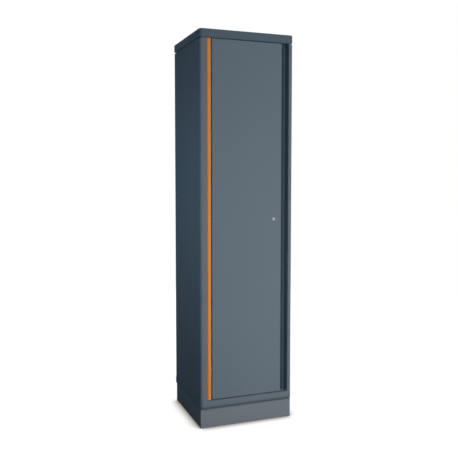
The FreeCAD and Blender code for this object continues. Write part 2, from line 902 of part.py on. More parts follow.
def make_door_skin():
    """The face with its hinge-side flange and its hemmed grip edge."""
    path = [
        (door_left, door_back), (door_left, door_front),
        (skin_edge, door_front), (skin_edge, door_front + d.grip_hem),
    ]
    bends = {1: d.skin_hinge_radius, 2: d.skin_grip_radius}
    body = bent_sheet("skin_wrap", "XY", door_bottom, door_top, path, d.sheet, bends)
    notch_xs, notch_ys = (door_left, door_left + d.sheet), (pin_y - d.notch_reach, door_back)
    reach = d.lug_thickness / 2 + d.notch_clearance
    notches = [
        block("skin_notch", notch_xs, notch_ys, (level - reach, level + reach))
        for level in hinge_levels.values()
    ]
    keep(cut("door_skin", body, lock_hole("skin", door_front), *notches))


def make_end_plates():
    """Flat plates that close the door's two ends, narrower beside the finger recess."""
    left, weld, right = door_left + d.sheet, channel_left - d.weld_flange, channel_left - d.sheet
    step = skin_inside + d.sheet
    outline = [
        (left, skin_inside), (weld, skin_inside), (weld, step), (right, step), (right, door_back),
        (left, door_back),
    ]
    plates = []
    for low in (door_bottom, door_top - d.sheet):
        plate = prism("end_plate", "XY", low, low + d.sheet, [outline])
        round_edges(plate, "Z", [outline[0]], d.skin_hinge_radius - d.sheet)
        plates.append(plate)
    keep(group("door_end_plates", plates))


def lock_hole(name, face):
    """A sheet's hole for the lock's barrel, from its front face."""
    radius = d.housing_radius + d.housing_clearance
    return rod(f"{name}_lock_hole", (lock_x, face, d.lock_height), "+Y", radius, d.sheet)


def make_grip_channel():
    """The full-height finger recess, whose far wall slopes forward to a narrow lip."""
    slope_top = door_right - d.grip_lip
    lip = door_front + d.grip_lip_setback
    path = [
        (channel_left - d.weld_flange, skin_inside), (channel_left, skin_inside),
        (channel_left, channel_back), (slope_top - d.grip_slope, channel_back), (slope_top, lip),
        (door_right, lip), (door_right, door_back), (door_right - d.grip_rear_flange, door_back),
    ]
    keep(bent_sheet("door_grip_channel", "XY", door_bottom, door_top, path, d.sheet))


def make_inner_pan():
    """The door's rear sheet, with a flange forward to the skin beside the hinges."""
    left = door_left + d.pan_hinge_gap
    right = door_right - d.grip_rear_flange - d.pan_seam
    path = [(right, door_back), (left, door_back), (left, skin_inside)]
    body = bent_sheet("pan_sheet", "XY", door_bottom + d.sheet, door_top - d.sheet, path, d.sheet)
    screw_holes = holes("pan", guide_screw_places(), "-Y", d.screw_radius, d.sheet)
    keep(cut("door_inner_pan", body, lock_hole("pan", pan_front), *screw_holes))


def make_hinges():
    """Each hinge: a leaf with a cranked lug on the frame, its pin, and a two-eared socket in the door."""
    half_lug = d.lug_thickness / 2
    diagonal = d.eye_radius / root(2)
    near = pin_x + d.lug_offset - d.lug_width / 2
    far = pin_x + d.lug_offset + d.lug_width / 2
    arm = [
        (pin_x + diagonal, pin_y - diagonal), (far, pin_y + d.lug_offset - d.lug_width / 2),
        (far, leaf_front), (near, leaf_front), (near, pin_y + d.lug_offset + d.lug_width / 2),
        (pin_x - diagonal, pin_y + diagonal),
    ]
    for end, level in hinge_levels.items():
        lug = (level - half_lug, level + half_lug)
        leaf_zs = (level - d.leaf_height / 2, level + d.leaf_height / 2)
        leaf_xs = (leaf_x - d.leaf_width / 2, leaf_x + d.leaf_width / 2)
        solid = fuse(
            f"bracket_{end}",
            prism(f"arm_{end}", "XY", lug[0], lug[1], [arm]),
            rod(f"eye_{end}", (pin_x, pin_y, lug[0]), "+Z", d.eye_radius, d.lug_thickness),
            block(f"leaf_{end}", leaf_xs, (leaf_front, hinge_stop), leaf_zs),
        )
        spots = [spot for spot in hinge_screw_places() if abs((spot[2] - level).value) < d.leaf_height.value]
        bore = rod(f"bore_{end}", (pin_x, pin_y, lug[0]), "+Z", d.pin_radius, d.lug_thickness)
        screw_holes = holes("leaf", spots, "+Y", d.screw_radius, d.leaf_thickness)
        keep(cut(f"hinge_bracket_{end}", solid, bore, *screw_holes))

        ear = lug[1] + d.ear_gap
        seat = ear + d.ear_thickness + d.ear_gap
        head = rod(f"head_{end}", (pin_x, pin_y, seat), "+Z", d.pin_head_radius, d.pin_head_height)
        shank = rod(f"shank_{end}", (pin_x, pin_y, seat - d.pin_length), "+Z", d.pin_radius, d.pin_length)
        keep(fuse(f"hinge_pin_{end}", head, shank))

        xs = (pin_x - d.socket_left, pin_x + d.socket_right)
        web_back = skin_inside + d.socket_web
        web_zs = (level - d.socket_height / 2, level + d.socket_height / 2)
        pieces = [block(f"web_{end}", xs, (skin_inside, web_back), web_zs)]
        for side in (-1, 1):
            near_ear = (half_lug + d.ear_gap) * side
            zs = span(level + near_ear, level + near_ear + d.ear_thickness * side)
            pieces.append(block(f"ear_{end}", xs, (web_back, pin_y + d.ear_reach), zs))
        hole_radius = d.pin_radius + d.pin_clearance
        hole = rod(f"ear_hole_{end}", (pin_x, pin_y, web_zs[0]), "+Z", hole_radius, d.socket_height)
        keep(cut(f"hinge_socket_{end}", fuse(f"socket_{end}", *pieces), hole))


# ---- lock, rods and guides


def make_lock():
    centre = (lock_x, door_front, d.lock_height)
    bezel_front = door_front - d.bezel_height
    body = fuse(
        "housing_solid",
        rod("bezel", centre, "-Y", d.bezel_radius, d.bezel_height),
        rod("barrel", centre, "+Y", d.housing_radius, d.housing_length),
    )
    bore = rod(
        "housing_bore", (lock_x, bezel_front, d.lock_height), "+Y",
        d.plug_radius + d.plug_clearance, d.bezel_height + d.housing_length,
    )
    keep(cut("lock_housing", body, bore))

    nut = doc.addObject("Part::Prism", "nut_hexagon")
    nut.Polygon = 6
    bind(nut, "Circumradius", d.nut_radius)
    bind(nut, "Height", d.nut_thickness)
    place(nut, lock_x, door_back, d.lock_height, "+Y")
    thread = rod("nut_bore", (lock_x, door_back, d.lock_height), "+Y", d.housing_radius, d.nut_thickness)
    keep(cut("lock_nut", nut, thread))

    plug_front = bezel_front + d.plug_sink
    half_tail = d.tail_width / 2
    tail = block(
        "plug_tail", (lock_x - half_tail, lock_x + half_tail), (plug_back, cam_back),
        (d.lock_height - half_tail, d.lock_height + half_tail),
    )
    length = plug_back - plug_front
    barrel = rod("plug_barrel", (lock_x, plug_front, d.lock_height), "+Y", d.plug_radius, length)
    plug = fuse("plug_solid", tail, barrel)
    keyway = block(
        "keyway", (lock_x - d.keyway_width / 2, lock_x + d.keyway_width / 2),
        (plug_front, plug_front + d.keyway_depth),
        (d.lock_height - d.keyway_height / 2, d.lock_height + d.keyway_height / 2),
    )
    seat = (lock_x, cam_back, d.lock_height)
    thread = rod("tail_bore", seat, "-Y", d.cam_screw_shank, d.cam_screw_length)
    keep(cut("lock_plug", plug, keyway, thread))
    keep(
        headed(
            "cam_screw", seat, "-Y",
            d.cam_screw_radius, d.cam_screw_height, d.cam_screw_shank, d.cam_screw_length,
        )
    )


def make_cam():
    """A bar turned 45 degrees from level, with a drive pin at each end."""
    side = cam_side
    edge = (d.cam_pin_radius + d.cam_edge) / root(2)
    x, z = lock_x, d.lock_height
    bar = [
        (x + side, z - side - edge * 2), (x + side + edge * 2, z - side),
        (x - side, z + side + edge * 2), (x - side - edge * 2, z + side),
    ]
    half_tail = d.tail_width / 2
    square = rectangle((x - half_tail, x + half_tail), (z - half_tail, z + half_tail))
    plate = prism("cam_plate", "XZ", plug_back, cam_back, [bar, square])
    pins = [
        rod("cam_pin", (x + side * s, cam_back, z - side * s), "+Y", d.cam_pin_radius, d.cam_pin_length)
        for s in (-1, 1)
    ]
    keep(fuse("lock_cam", plate, *pins))


def make_rods():
    """Flat bars with a cross slot for the cam's pin; the upper one is right of the lock, the lower left."""
    for name, side, tip in (("upper_rod", 1, upper_tip), ("lower_rod", -1, lower_tip)):
        xs = span(lock_x + rod_near * side, lock_x + rod_far * side)
        slot_xs = span(lock_x + (cam_side - slot_half) * side, lock_x + (d.cam_throw + slot_half) * side)
        level = d.lock_height - cam_side * side
        zs = span(level - d.rod_end * side, tip)
        bar = rectangle(xs, zs)
        slot = rectangle(slot_xs, (level - slot_half, level + slot_half))
        body = prism(name, "XZ", rod_front, rod_back, [bar, slot])
        round_edges(body, "Y", [(xs[0], tip), (xs[1], tip)], d.rod_tip_radius)
        keep(body)


def guide_places():
    """Where the rods' guides stand: one near each rail and one near the lock on each rod."""
    return [
        (1, header_bottom - d.guide_end_distance), (1, d.lock_height + d.guide_lock_distance),
        (-1, d.lock_height - d.guide_lock_distance), (-1, sill_top + d.guide_end_distance),
    ]


def guide_screw_places():
    for side, level in guide_places():
        middle = lock_x + (rod_near + rod_far) / 2 * side
        reach = (rod_far - rod_near + d.guide_ear) / 2 + d.guide_wall
        for hand in (-1, 1):
            yield (middle + reach * hand, door_back, level)


def make_guides():
    guides = []
    plate_back = door_back + d.guide_plate
    for side, level in guide_places():
        near, far = span(lock_x + rod_near * side, lock_x + rod_far * side)
        gap = d.guide_clearance
        shell = gap + d.guide_wall
        ear = d.guide_wall + d.guide_ear
        zs = (level - d.guide_height / 2, level + d.guide_height / 2)
        solid = fuse(
            "guide_solid",
            block("guide_block", (near - shell, far + shell), (door_back, rod_back + shell), zs),
            block("guide_plate", (near - ear, far + ear), (door_back, plate_back), zs),
        )
        way = block("guide_way", (near - gap, far + gap), (rod_front - gap, rod_back + gap), zs)
        spots = [spot for spot in guide_screw_places() if abs((spot[2] - level).value) < TOLERANCE]
        screw_holes = holes("guide", spots, "+Y", d.screw_radius, d.guide_plate)
        guides.append(cut("rod_guide", solid, way, *screw_holes))
    keep(group("rod_guides", guides))
    screws = [screw("guide_screw", (x, plate_back, z), "-Y") for x, y, z in guide_screw_places()]
    keep(group("rod_guide_screws", screws))


# ---- fasteners and buffers


def make_fasteners():
    keep(group("hinge_screws", [screw("hinge_screw", spot, "+Y") for spot in hinge_screw_places()]))
    keep(group("plinth_screws", [screw("plinth_screw", spot, "+Z") for spot in plinth_screw_places()]))
    keep(group("cap_screws", [screw("cap_screw", spot, "+Z") for spot in cap_screw_places()]))
    rivets = [
        headed(
            "back_rivet", spot, "-Y", d.rivet_head_radius, d.rivet_head_height,
            d.rivet_radius, d.sheet * 2 + d.rivet_head_height,
        )
        for side in (-1, 1) for spot in rivet_places(side)
    ]
    keep(group("back_rivets", rivets))


def make_buffers():
    """Push-in rubber buffers that stop the door on its lock side."""
    buffers = []
    for spot in buffer_places():
        head = rod("buffer_head", spot, "-Y", d.buffer_radius, d.door_stop_gap - d.buffer_gap)
        stem = rod("buffer_stem", spot, "+Y", d.buffer_stem_radius, d.buffer_stem_length)
        buffers.append(fuse("buffer", head, stem))
    keep(group("door_buffers", buffers))


# ---- build, check and write


def check_and_write():
    doc.recompute()
    for item in doc.Objects:
        bad = {"Invalid", "Error"} & set(item.State)
        if bad:
            raise RuntimeError(f"{item.Name} is {bad}")
    os.makedirs(OUT, exist_ok=True)
    for label, thing in nodes.items():
        shape = thing.Shape
        if shape.isNull() or not shape.isValid() or not shape.Solids:
            raise RuntimeError(f"{label} has no valid solid")
        shape.exportStep(os.path.join(OUT, f"{label}.step"))
        print(f"{label}: {len(shape.Solids)} solid(s), {shape.Volume / 1000:.2f} cm3")
    print(f"{len(nodes)} nodes")


make_plinth()
make_base()
make_cap()
make_top_frame()
make_left_side()
make_right_side()
make_back()
make_rails()
make_strip()
make_shelves()
make_clips(make_uprights())
make_door_skin()
make_end_plates()
make_grip_channel()
make_inner_pan()
make_hinges()
make_lock()
make_cam()
make_rods()
make_guides()
make_fasteners()
make_buffers()
check_and_write()
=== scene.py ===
import json
import math

import bmesh
import bpy
import numpy as np
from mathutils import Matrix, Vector


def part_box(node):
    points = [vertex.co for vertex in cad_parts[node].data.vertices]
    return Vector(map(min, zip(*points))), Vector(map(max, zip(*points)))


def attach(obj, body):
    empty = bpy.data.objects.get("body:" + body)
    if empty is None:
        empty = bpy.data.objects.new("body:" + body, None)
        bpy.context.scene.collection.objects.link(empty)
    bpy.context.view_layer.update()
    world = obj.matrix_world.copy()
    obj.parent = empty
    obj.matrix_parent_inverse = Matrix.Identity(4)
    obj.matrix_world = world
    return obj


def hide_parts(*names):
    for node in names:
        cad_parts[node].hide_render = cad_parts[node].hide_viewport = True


# A tall steel side locker with one door. The visible sheets are drawn here with their real bends,
# and the working parts inside keep their solids. Lengths in the dictionaries are in millimetres.

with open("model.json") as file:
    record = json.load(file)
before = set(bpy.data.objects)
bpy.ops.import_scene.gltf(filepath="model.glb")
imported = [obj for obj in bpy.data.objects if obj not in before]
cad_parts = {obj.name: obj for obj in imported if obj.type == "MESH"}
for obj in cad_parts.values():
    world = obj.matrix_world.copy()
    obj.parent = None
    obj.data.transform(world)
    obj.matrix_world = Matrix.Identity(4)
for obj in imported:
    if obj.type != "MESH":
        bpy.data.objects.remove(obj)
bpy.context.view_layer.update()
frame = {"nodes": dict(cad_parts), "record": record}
scene = bpy.context.scene
mm = 0.001
print("frame loaded:", len(frame["nodes"]), "nodes")


# camera, lamps and floor

cameraSetup = {
    "lens": 49.78,
    "sensor": 36.0,
    "shift": -0.03,
    "place": (-1.19768, -3.16119, 1.26411),
    "turn": 20.512,  # degrees clockwise from straight at the door
    "tilt": 3.6117,  # degrees below level
    "farthest": 200,
}

ambient = (0.012, 0.024, 0.036)

lamps = {
    "key": {
        "place": (1.5, -3.3, 1.6), "aim": (0.0, 0.0, 1.0), "size": (2.0, 2.6), "power": 82,
        "tint": (1.0, 0.985, 0.96), "mirrored": False,
    },
    "bounce": {
        "place": (0.4, -1.9, 0.5), "aim": (0.0, -0.1, 0.4), "size": (1.6, 0.4), "power": 13,
        "tint": (1.0, 0.98, 0.95), "mirrored": False,
    },
    "frontFill": {
        "place": (-1.6, -3.4, 1.8), "aim": (0.0, 0.0, 1.1), "size": (1.0, 1.0), "power": 8,
        "tint": (0.95, 0.98, 1.0),
    },
    "sideFill": {
        "place": (-1.3, -0.15, 1.2), "aim": (-0.25, -0.1, 1.2), "size": (0.4, 0.4), "power": 3.3,
        "tint": (0.62, 0.84, 1.0),
    },
    "cornerFill": {
        "place": (-1.5, -1.3, 1.2), "aim": (-0.25, -0.1, 1.2), "size": (0.4, 0.4), "power": 4.2,
        "tint": (0.7, 0.88, 1.0),
    },
    "overhead": {
        "place": (0.2, -0.2, 4.4), "aim": (0.0, 0.0, 1.0), "size": (2.0, 2.0), "power": 22,
        "tint": (0.97, 0.99, 1.0),
    },
    "rear": {
        "place": (1.3, 3.3, 1.5), "aim": (0.0, 0.2, 1.0), "size": (2.0, 2.0), "power": 80,
        "tint": (0.97, 0.99, 1.0),
    },
}

floorSetup = {
    "reach": 45.0,  # metres from the middle to the edge
    "sides": 64,
    "drop": 0.0003,  # metres below the plinth
    "tone": 0.1,
    "glow": (1.0, 1.0, 1.0),
    "shadow": (0.22, 0.19, 0.17),  # where the floor meets a wall
    "shadowReach": 0.075,  # metres that the contact shadow spreads
    "shadowFade": 1.8,  # a higher power draws the shadow closer to the wall
}


def makeCamera(setup):
    data = bpy.data.cameras.new("camera")
    data.lens = setup["lens"]
    data.sensor_width = setup["sensor"]
    data.shift_y = setup["shift"]
    data.clip_end = setup["farthest"]
    camera = bpy.data.objects.new("camera", data)
    camera.location = setup["place"]
    camera.rotation_euler = (math.radians(90 - setup["tilt"]), 0, -math.radians(setup["turn"]))
    scene.collection.objects.link(camera)
    scene.camera = camera


def makeLamp(name, setup):
    data = bpy.data.lights.new(name, "AREA")
    data.shape = "RECTANGLE"
    data.size, data.size_y = setup["size"]
    data.energy = setup["power"]
    data.color = setup["tint"]
    lamp = bpy.data.objects.new(name, data)
    lamp.location = setup["place"]
    way = Vector(setup["aim"]) - Vector(setup["place"])
    lamp.rotation_euler = way.to_track_quat("-Z", "Y").to_euler()
    lamp.visible_camera = False
    lamp.visible_glossy = setup.get("mirrored", True)  # bright metal mirrors the pale backdrop instead
    scene.collection.objects.link(lamp)


def put(tree, kind, **settings):
    node = tree.nodes.new(kind)
    for key, value in settings.items():
        setattr(node, key, value)
    return node


def feed(tree, socket, value):
    # joins a socket to another one, or sets its number or colour
    if isinstance(value, bpy.types.NodeSocket):
        tree.links.new(value, socket)
    else:
        socket.default_value = value


def calc(tree, operation, first, second=0.0, third=0.0, clamp=False):
    node = put(tree, "ShaderNodeMath", operation=operation, use_clamp=clamp)
    for socket, value in zip(node.inputs, (first, second, third)):
        feed(tree, socket, value)
    return node.outputs[0]


def blend(tree, amount, first, second):
    # first where the amount is 0, second where it is 1
    node = put(tree, "ShaderNodeMix", data_type="RGBA")
    for index, value in ((0, amount), (6, first), (7, second)):
        feed(tree, node.inputs[index], value)
    return node.outputs[2]


def seenDirectly(tree):
    # 1 for a ray that shows the background to the camera, in gloss or through glass
    path = put(tree, "ShaderNodeLightPath")
    shown = calc(tree, "MAXIMUM", path.outputs["Is Camera Ray"], path.outputs["Is Glossy Ray"])
    return calc(tree, "MAXIMUM", shown, path.outputs["Is Transmission Ray"])


def makeWorld(ambient):
    world = bpy.data.worlds.new("studio")
    scene.world = world
    world.use_nodes = True
    tree = world.node_tree
    tree.nodes.clear()
    soft = put(tree, "ShaderNodeBackground")
    soft.inputs["Color"].default_value = (*ambient, 1)
    white = put(tree, "ShaderNodeBackground")
    white.inputs["Color"].default_value = (1, 1, 1, 1)
    mix = put(tree, "ShaderNodeMixShader")
    out = put(tree, "ShaderNodeOutputWorld")
    feed(tree, mix.inputs[0], seenDirectly(tree))
    feed(tree, mix.inputs[1], soft.outputs[0])
    feed(tree, mix.inputs[2], white.outputs[0])
    feed(tree, out.inputs[0], mix.outputs[0])


def makeFloor(setup):
    # a disc: radius r and angle a give (r cos a, r sin a)
    sides = setup["sides"]
    angles = np.linspace(0, 2 * math.pi, sides, endpoint=False)
    rim = np.stack([np.cos(angles), np.sin(angles), np.zeros(sides)], axis=1) * setup["reach"]
    rim[:, 2] = -setup["drop"]
    mesh = bpy.data.meshes.new("floor")
    mesh.from_pydata(rim.tolist(), [], [list(range(sides))])
    floor = bpy.data.objects.new("floor", mesh)
    scene.collection.objects.link(floor)
    material = bpy.data.materials.new("floorMatte")
    material.use_nodes = True
    tree = material.node_tree
    tree.nodes.clear()
    matte = put(tree, "ShaderNodeBsdfDiffuse")
    matte.inputs["Color"].default_value = (*[setup["tone"]] * 3, 1)
    near = put(tree, "ShaderNodeAmbientOcclusion", samples=16)
    near.inputs["Distance"].default_value = setup["shadowReach"]
    # half the sky is shut off at the foot of a wall, so the share runs from 0.5 to 1
    openSky = calc(tree, "MULTIPLY_ADD", near.outputs["AO"], 2.0, -1.0, clamp=True)
    shade = calc(tree, "POWER", calc(tree, "SUBTRACT", 1.0, openSky), setup["shadowFade"])
    glow = put(tree, "ShaderNodeEmission")
    feed(tree, glow.inputs["Color"], blend(tree, shade, (*setup["glow"], 1), (*setup["shadow"], 1)))
    feed(tree, glow.inputs["Strength"], seenDirectly(tree))
    both = put(tree, "ShaderNodeAddShader")
    out = put(tree, "ShaderNodeOutputMaterial")
    feed(tree, both.inputs[0], matte.outputs[0])
    feed(tree, both.inputs[1], glow.outputs[0])
    feed(tree, out.inputs["Surface"], both.outputs[0])
    mesh.materials.append(material)


scene.view_settings.view_transform = "Standard"
makeCamera(cameraSetup)
for lampName, lampSetup in lamps.items():
    makeLamp(lampName, lampSetup)
makeWorld(ambient)
makeFloor(floorSetup)
print("studio set up")


# finishes

def makeGroup(name, inputs, outputs):
    group = bpy.data.node_groups.new(name, "ShaderNodeTree")
    for label, value in inputs.items():
        socket = group.interface.new_socket(name=label, in_out="INPUT", socket_type="NodeSocketFloat")
        socket.default_value = value
    for label in outputs:
        group.interface.new_socket(name=label, in_out="OUTPUT", socket_type="NodeSocketFloat")
    return group, put(group, "NodeGroupInput"), put(group, "NodeGroupOutput")


def noise(tree, scale, detail=2.0, stretch=None, rough=0.5):
    # noise on the object's own coordinates, stretched along an axis where asked
    place = put(tree, "ShaderNodeTexCoord").outputs["Object"]
    if stretch:
        mapping = put(tree, "ShaderNodeMapping")
        mapping.inputs["Scale"].default_value = stretch
        feed(tree, mapping.inputs["Vector"], place)
        place = mapping.outputs[0]
    node = put(tree, "ShaderNodeTexNoise")
    feed(tree, node.inputs["Vector"], place)
    feed(tree, node.inputs["Scale"], scale)
    node.inputs["Detail"].default_value = detail
    node.inputs["Roughness"].default_value = rough
    return node.outputs[0]


def partOf(tree, vector, axis):
    # one part of a vector, by its letter
    split = put(tree, "ShaderNodeSeparateXYZ")
    feed(tree, split.inputs[0], vector)
    return split.outputs[axis]


def stepUp(tree, value, low, high):
    # 0 below low, 1 above high, smooth between
    node = put(tree, "ShaderNodeMapRange", interpolation_type="SMOOTHSTEP")
    feed(tree, node.inputs["Value"], value)
    feed(tree, node.inputs["From Min"], low)
    feed(tree, node.inputs["From Max"], high)
    return node.outputs[0]


def giveMask(group, inside, out, first, second):
    both = calc(group, "MULTIPLY", first, second)
    mask = calc(group, "MULTIPLY", both, inside.outputs["Amount"], clamp=True)
    feed(group, out.inputs["Mask"], mask)


powderLook = {"peelScale": 380.0, "toneScale": 1.7, "grainScale": 1300.0}


def powderGroup():
    # the fine dimples of sprayed powder, its grain and slow changes of tone over a sheet
    sizes = {"Peel Scale": powderLook["peelScale"], "Tone Scale": powderLook["toneScale"]}
    group, inside, out = makeGroup("powderCoat", sizes, ("Height", "Tone", "Grain"))
    feed(group, out.inputs["Height"], noise(group, inside.outputs["Peel Scale"], 2.0))
    feed(group, out.inputs["Tone"], noise(group, inside.outputs["Tone Scale"], 4.0, rough=0.6))
    feed(group, out.inputs["Grain"], noise(group, powderLook["grainScale"], 1.0))
    return group


wearLook = {
    "radius": 0.0012,  # metres within which a turn of the surface counts as an edge
    "turn": (0.03, 0.22),  # 1 less the turn's cosine, where wear starts and where it is full
    "patchScale": 34.0,
    "patches": (0.44, 0.66),  # levels of the noise between which a patch fades in
}


def wearGroup():
    # where the surface turns within the radius, broken up by noise
    group, inside, out = makeGroup("edgeWear", {"Radius": wearLook["radius"], "Amount": 1.0}, ("Mask",))
    soft = put(group, "ShaderNodeBevel", samples=4)
    feed(group, soft.inputs["Radius"], inside.outputs["Radius"])
    face = put(group, "ShaderNodeNewGeometry")
    turn = put(group, "ShaderNodeVectorMath", operation="DOT_PRODUCT")
    feed(group, turn.inputs[0], soft.outputs[0])
    feed(group, turn.inputs[1], face.outputs["Normal"])
    edge = stepUp(group, calc(group, "SUBTRACT", 1.0, turn.outputs["Value"]), *wearLook["turn"])
    patches = stepUp(group, noise(group, wearLook["patchScale"], 5.0, rough=0.65), *wearLook["patches"])
    giveMask(group, inside, out, edge, patches)
    return group


dustLook = {
    "level": (0.75, 1.0),  # how far up a face looks, where dust starts to lie and where it is full
    "driftScale": 7.0,
    "driftShare": 0.9,
    "driftLeast": 0.2,
}


def dustGroup():
    # dust that settles on level faces
    group, inside, out = makeGroup("settledDust", {"Amount": 0.3}, ("Mask",))
    face = put(group, "ShaderNodeNewGeometry")
    level = stepUp(group, partOf(group, face.outputs["Normal"], "Z"), *dustLook["level"])
    cloud = noise(group, dustLook["driftScale"], 6.0, rough=0.7)
    drift = calc(group, "MULTIPLY_ADD", cloud, dustLook["driftShare"], dustLook["driftLeast"])
    giveMask(group, inside, out, level, drift)
    return group


scuffLook = {
    "foot": 0.01,  # metres above the floor where the scuffs start to fade
    "height": 0.07,  # metres above the floor where they end
    "streakScale": 30.0,
    "stretch": (0.35, 0.35, 7.0),
    "streaks": (0.58, 0.74),
    "filmTop": (0.088, 0.1),  # metres above the floor between which the pale film fades out, partly dust and partly painted bounce light
    "film": 0.3,
    "filmStreaks": 0.2,
    "facing": (0.2, 0.7),  # how far a face looks to the front
    # a painted shadow line under the base band, at the front
    "shadowLineLevel": 0.1005,  # metres above the floor to the joint over the plinth
    "shadowLineScale": 40.0,
    "shadowLineRagged": 0.002,
    "shadowLineFade": (0.004, 0.016),  # metres from the joint
}


def scuffGroup():
    # long level scuffs below a height, as shoes and trolleys leave on a plinth, a paler film low down that
    # is partly dust and partly painted bounce light, and a painted shadow line under the base band
    look = scuffLook
    group, inside, out = makeGroup(
        "scuffs", {"Height": look["height"], "Amount": 0.5}, ("Mask", "DustAndBounce", "Seam")
    )
    height = partOf(group, put(group, "ShaderNodeTexCoord").outputs["Object"], "Z")
    low = calc(group, "SUBTRACT", 1.0, stepUp(group, height, look["foot"], inside.outputs["Height"]))
    marks = noise(group, look["streakScale"], 5.0, stretch=look["stretch"], rough=0.6)
    streaks = stepUp(group, marks, *look["streaks"])
    giveMask(group, inside, out, low, streaks)
    # a paler film low down, partly dust and partly painted light bounced off the floor
    near = calc(group, "SUBTRACT", 1.0, stepUp(group, height, *look["filmTop"]))
    film = calc(group, "MULTIPLY_ADD", streaks, look["filmStreaks"], look["film"])
    feed(group, out.inputs["DustAndBounce"], calc(group, "MULTIPLY", near, film))
    # painted shadow under the base band where it meets the plinth, at the front: 1 on the joint's line,
    # fading above and below
    facing = partOf(group, put(group, "ShaderNodeNewGeometry").outputs["Normal"], "Y")
    front = stepUp(group, calc(group, "MULTIPLY", facing, -1.0), *look["facing"])
    away = calc(group, "ABSOLUTE", calc(group, "SUBTRACT", height, look["shadowLineLevel"]))
    ragged = calc(group, "MULTIPLY_ADD", noise(group, look["shadowLineScale"], 3.0), look["shadowLineRagged"], away)
    line = calc(group, "SUBTRACT", 1.0, stepUp(group, ragged, *look["shadowLineFade"]))
    feed(group, out.inputs["Seam"], calc(group, "MULTIPLY", line, front))
    return group


# painted shade in the recess, darkest next to the door's edge; start and end are in metres along x
recessShadeLook = {"start": 0.2015, "end": 0.2115, "scale": 26.0, "ragged": 0.003}


def recessShadeGroup():
    # painted shade in the recess behind the door's edge: full up to Start, gone at End, both along x
    look = recessShadeLook
    sizes = {"Start": look["start"], "End": look["end"], "Amount": 0.5}
    group, inside, out = makeGroup("paintedRecessShade", sizes, ("Mask",))
    across = partOf(group, put(group, "ShaderNodeTexCoord").outputs["Object"], "X")
    ragged = calc(group, "MULTIPLY_ADD", noise(group, look["scale"], 4.0), look["ragged"], across)
    fade = stepUp(group, ragged, inside.outputs["Start"], inside.outputs["End"])
    edge = calc(group, "SUBTRACT", 1.0, fade)
    feed(group, out.inputs["Mask"], calc(group, "MULTIPLY", edge, inside.outputs["Amount"], clamp=True))
    return group


effects = {
    "powder": powderGroup(), "wear": wearGroup(), "dust": dustGroup(), "scuffs": scuffGroup(),
    "recessShade": recessShadeGroup(),
}


def effect(tree, name, **values):
    node = put(tree, "ShaderNodeGroup", node_tree=effects[name])
    for label, value in values.items():
        feed(tree, node.inputs[label], value)
    return node.outputs


def newMaterial(name):
    material = bpy.data.materials.new(name)
    material.use_nodes = True
    tree = material.node_tree
    tree.nodes.clear()
    shader = put(tree, "ShaderNodeBsdfPrincipled")
    out = put(tree, "ShaderNodeOutputMaterial")
    feed(tree, out.inputs["Surface"], shader.outputs[0])
    return material, tree, shader


def addBump(tree, shader, height, depth):
    bump = put(tree, "ShaderNodeBump")
    bump.inputs["Distance"].default_value = depth
    bump.inputs["Strength"].default_value = 1.0
    feed(tree, bump.inputs["Height"], height)
    feed(tree, shader.inputs["Normal"], bump.outputs[0])


def shaded(colour, factor):
    return (*[channel * factor for channel in colour], 1)


paints = {
    "bodyPaint": {
        "colour": (0.121, 0.151, 0.184), "worn": (0.24, 0.26, 0.28), "rough": 0.62, "gloss": 0.004,
        "dust": 0.22, "scuffs": 0.35,
    },
    "doorPaint": {
        "colour": (0.121, 0.154, 0.187), "worn": (0.24, 0.26, 0.28), "rough": 0.6, "gloss": 0.03,
        "dust": 0.2,
    },
    "capPaint": {
        "colour": (0.083, 0.115, 0.146), "worn": (0.16, 0.18, 0.2), "rough": 0.62, "gloss": 0.02,
        "dust": 0.3,
    },
    # darker than the door's paint, standing in partly for the shade in the recess, with painted shade
    # behind the door's edge on top
    "recessShadedPaint": {
        "colour": (0.05, 0.075, 0.099), "worn": (0.1, 0.12, 0.14), "rough": 0.6, "gloss": 0.02,
        "dust": 0.2, "recessShade": 0.6,
    },
    "shelfPaint": {
        "colour": (0.42, 0.44, 0.45), "worn": (0.5, 0.5, 0.5), "rough": 0.45, "gloss": 0.3,
        "dust": 0.15,
    },
    "stripPaint": {
        "colour": (0.63, 0.208, 0.038), "worn": (0.72, 0.34, 0.14), "rough": 0.45, "gloss": 0.12,
    },
}


paintLook = {
    "tones": (0.93, 1.07),  # shares of the colour between which a sheet's tone drifts
    "grain": (0.35, 0.75),
    "grainTone": 1.03,
    "roughSpread": 0.16,
    # the film colour below is partly dust and partly painted bounce light; the darker tones for the line
    # under the base band and for the recess are painted shade
    "film": (0.25, 0.262, 0.275), "dust": (0.33, 0.32, 0.3), "dustRough": 0.4,
    "scuffTone": 0.8, "shadowLineAmount": 0.45, "shadowLineTone": 0.25, "recessShadeTone": 0.2, "wearAmount": 0.55,
    "peelDepth": 0.00004,
}


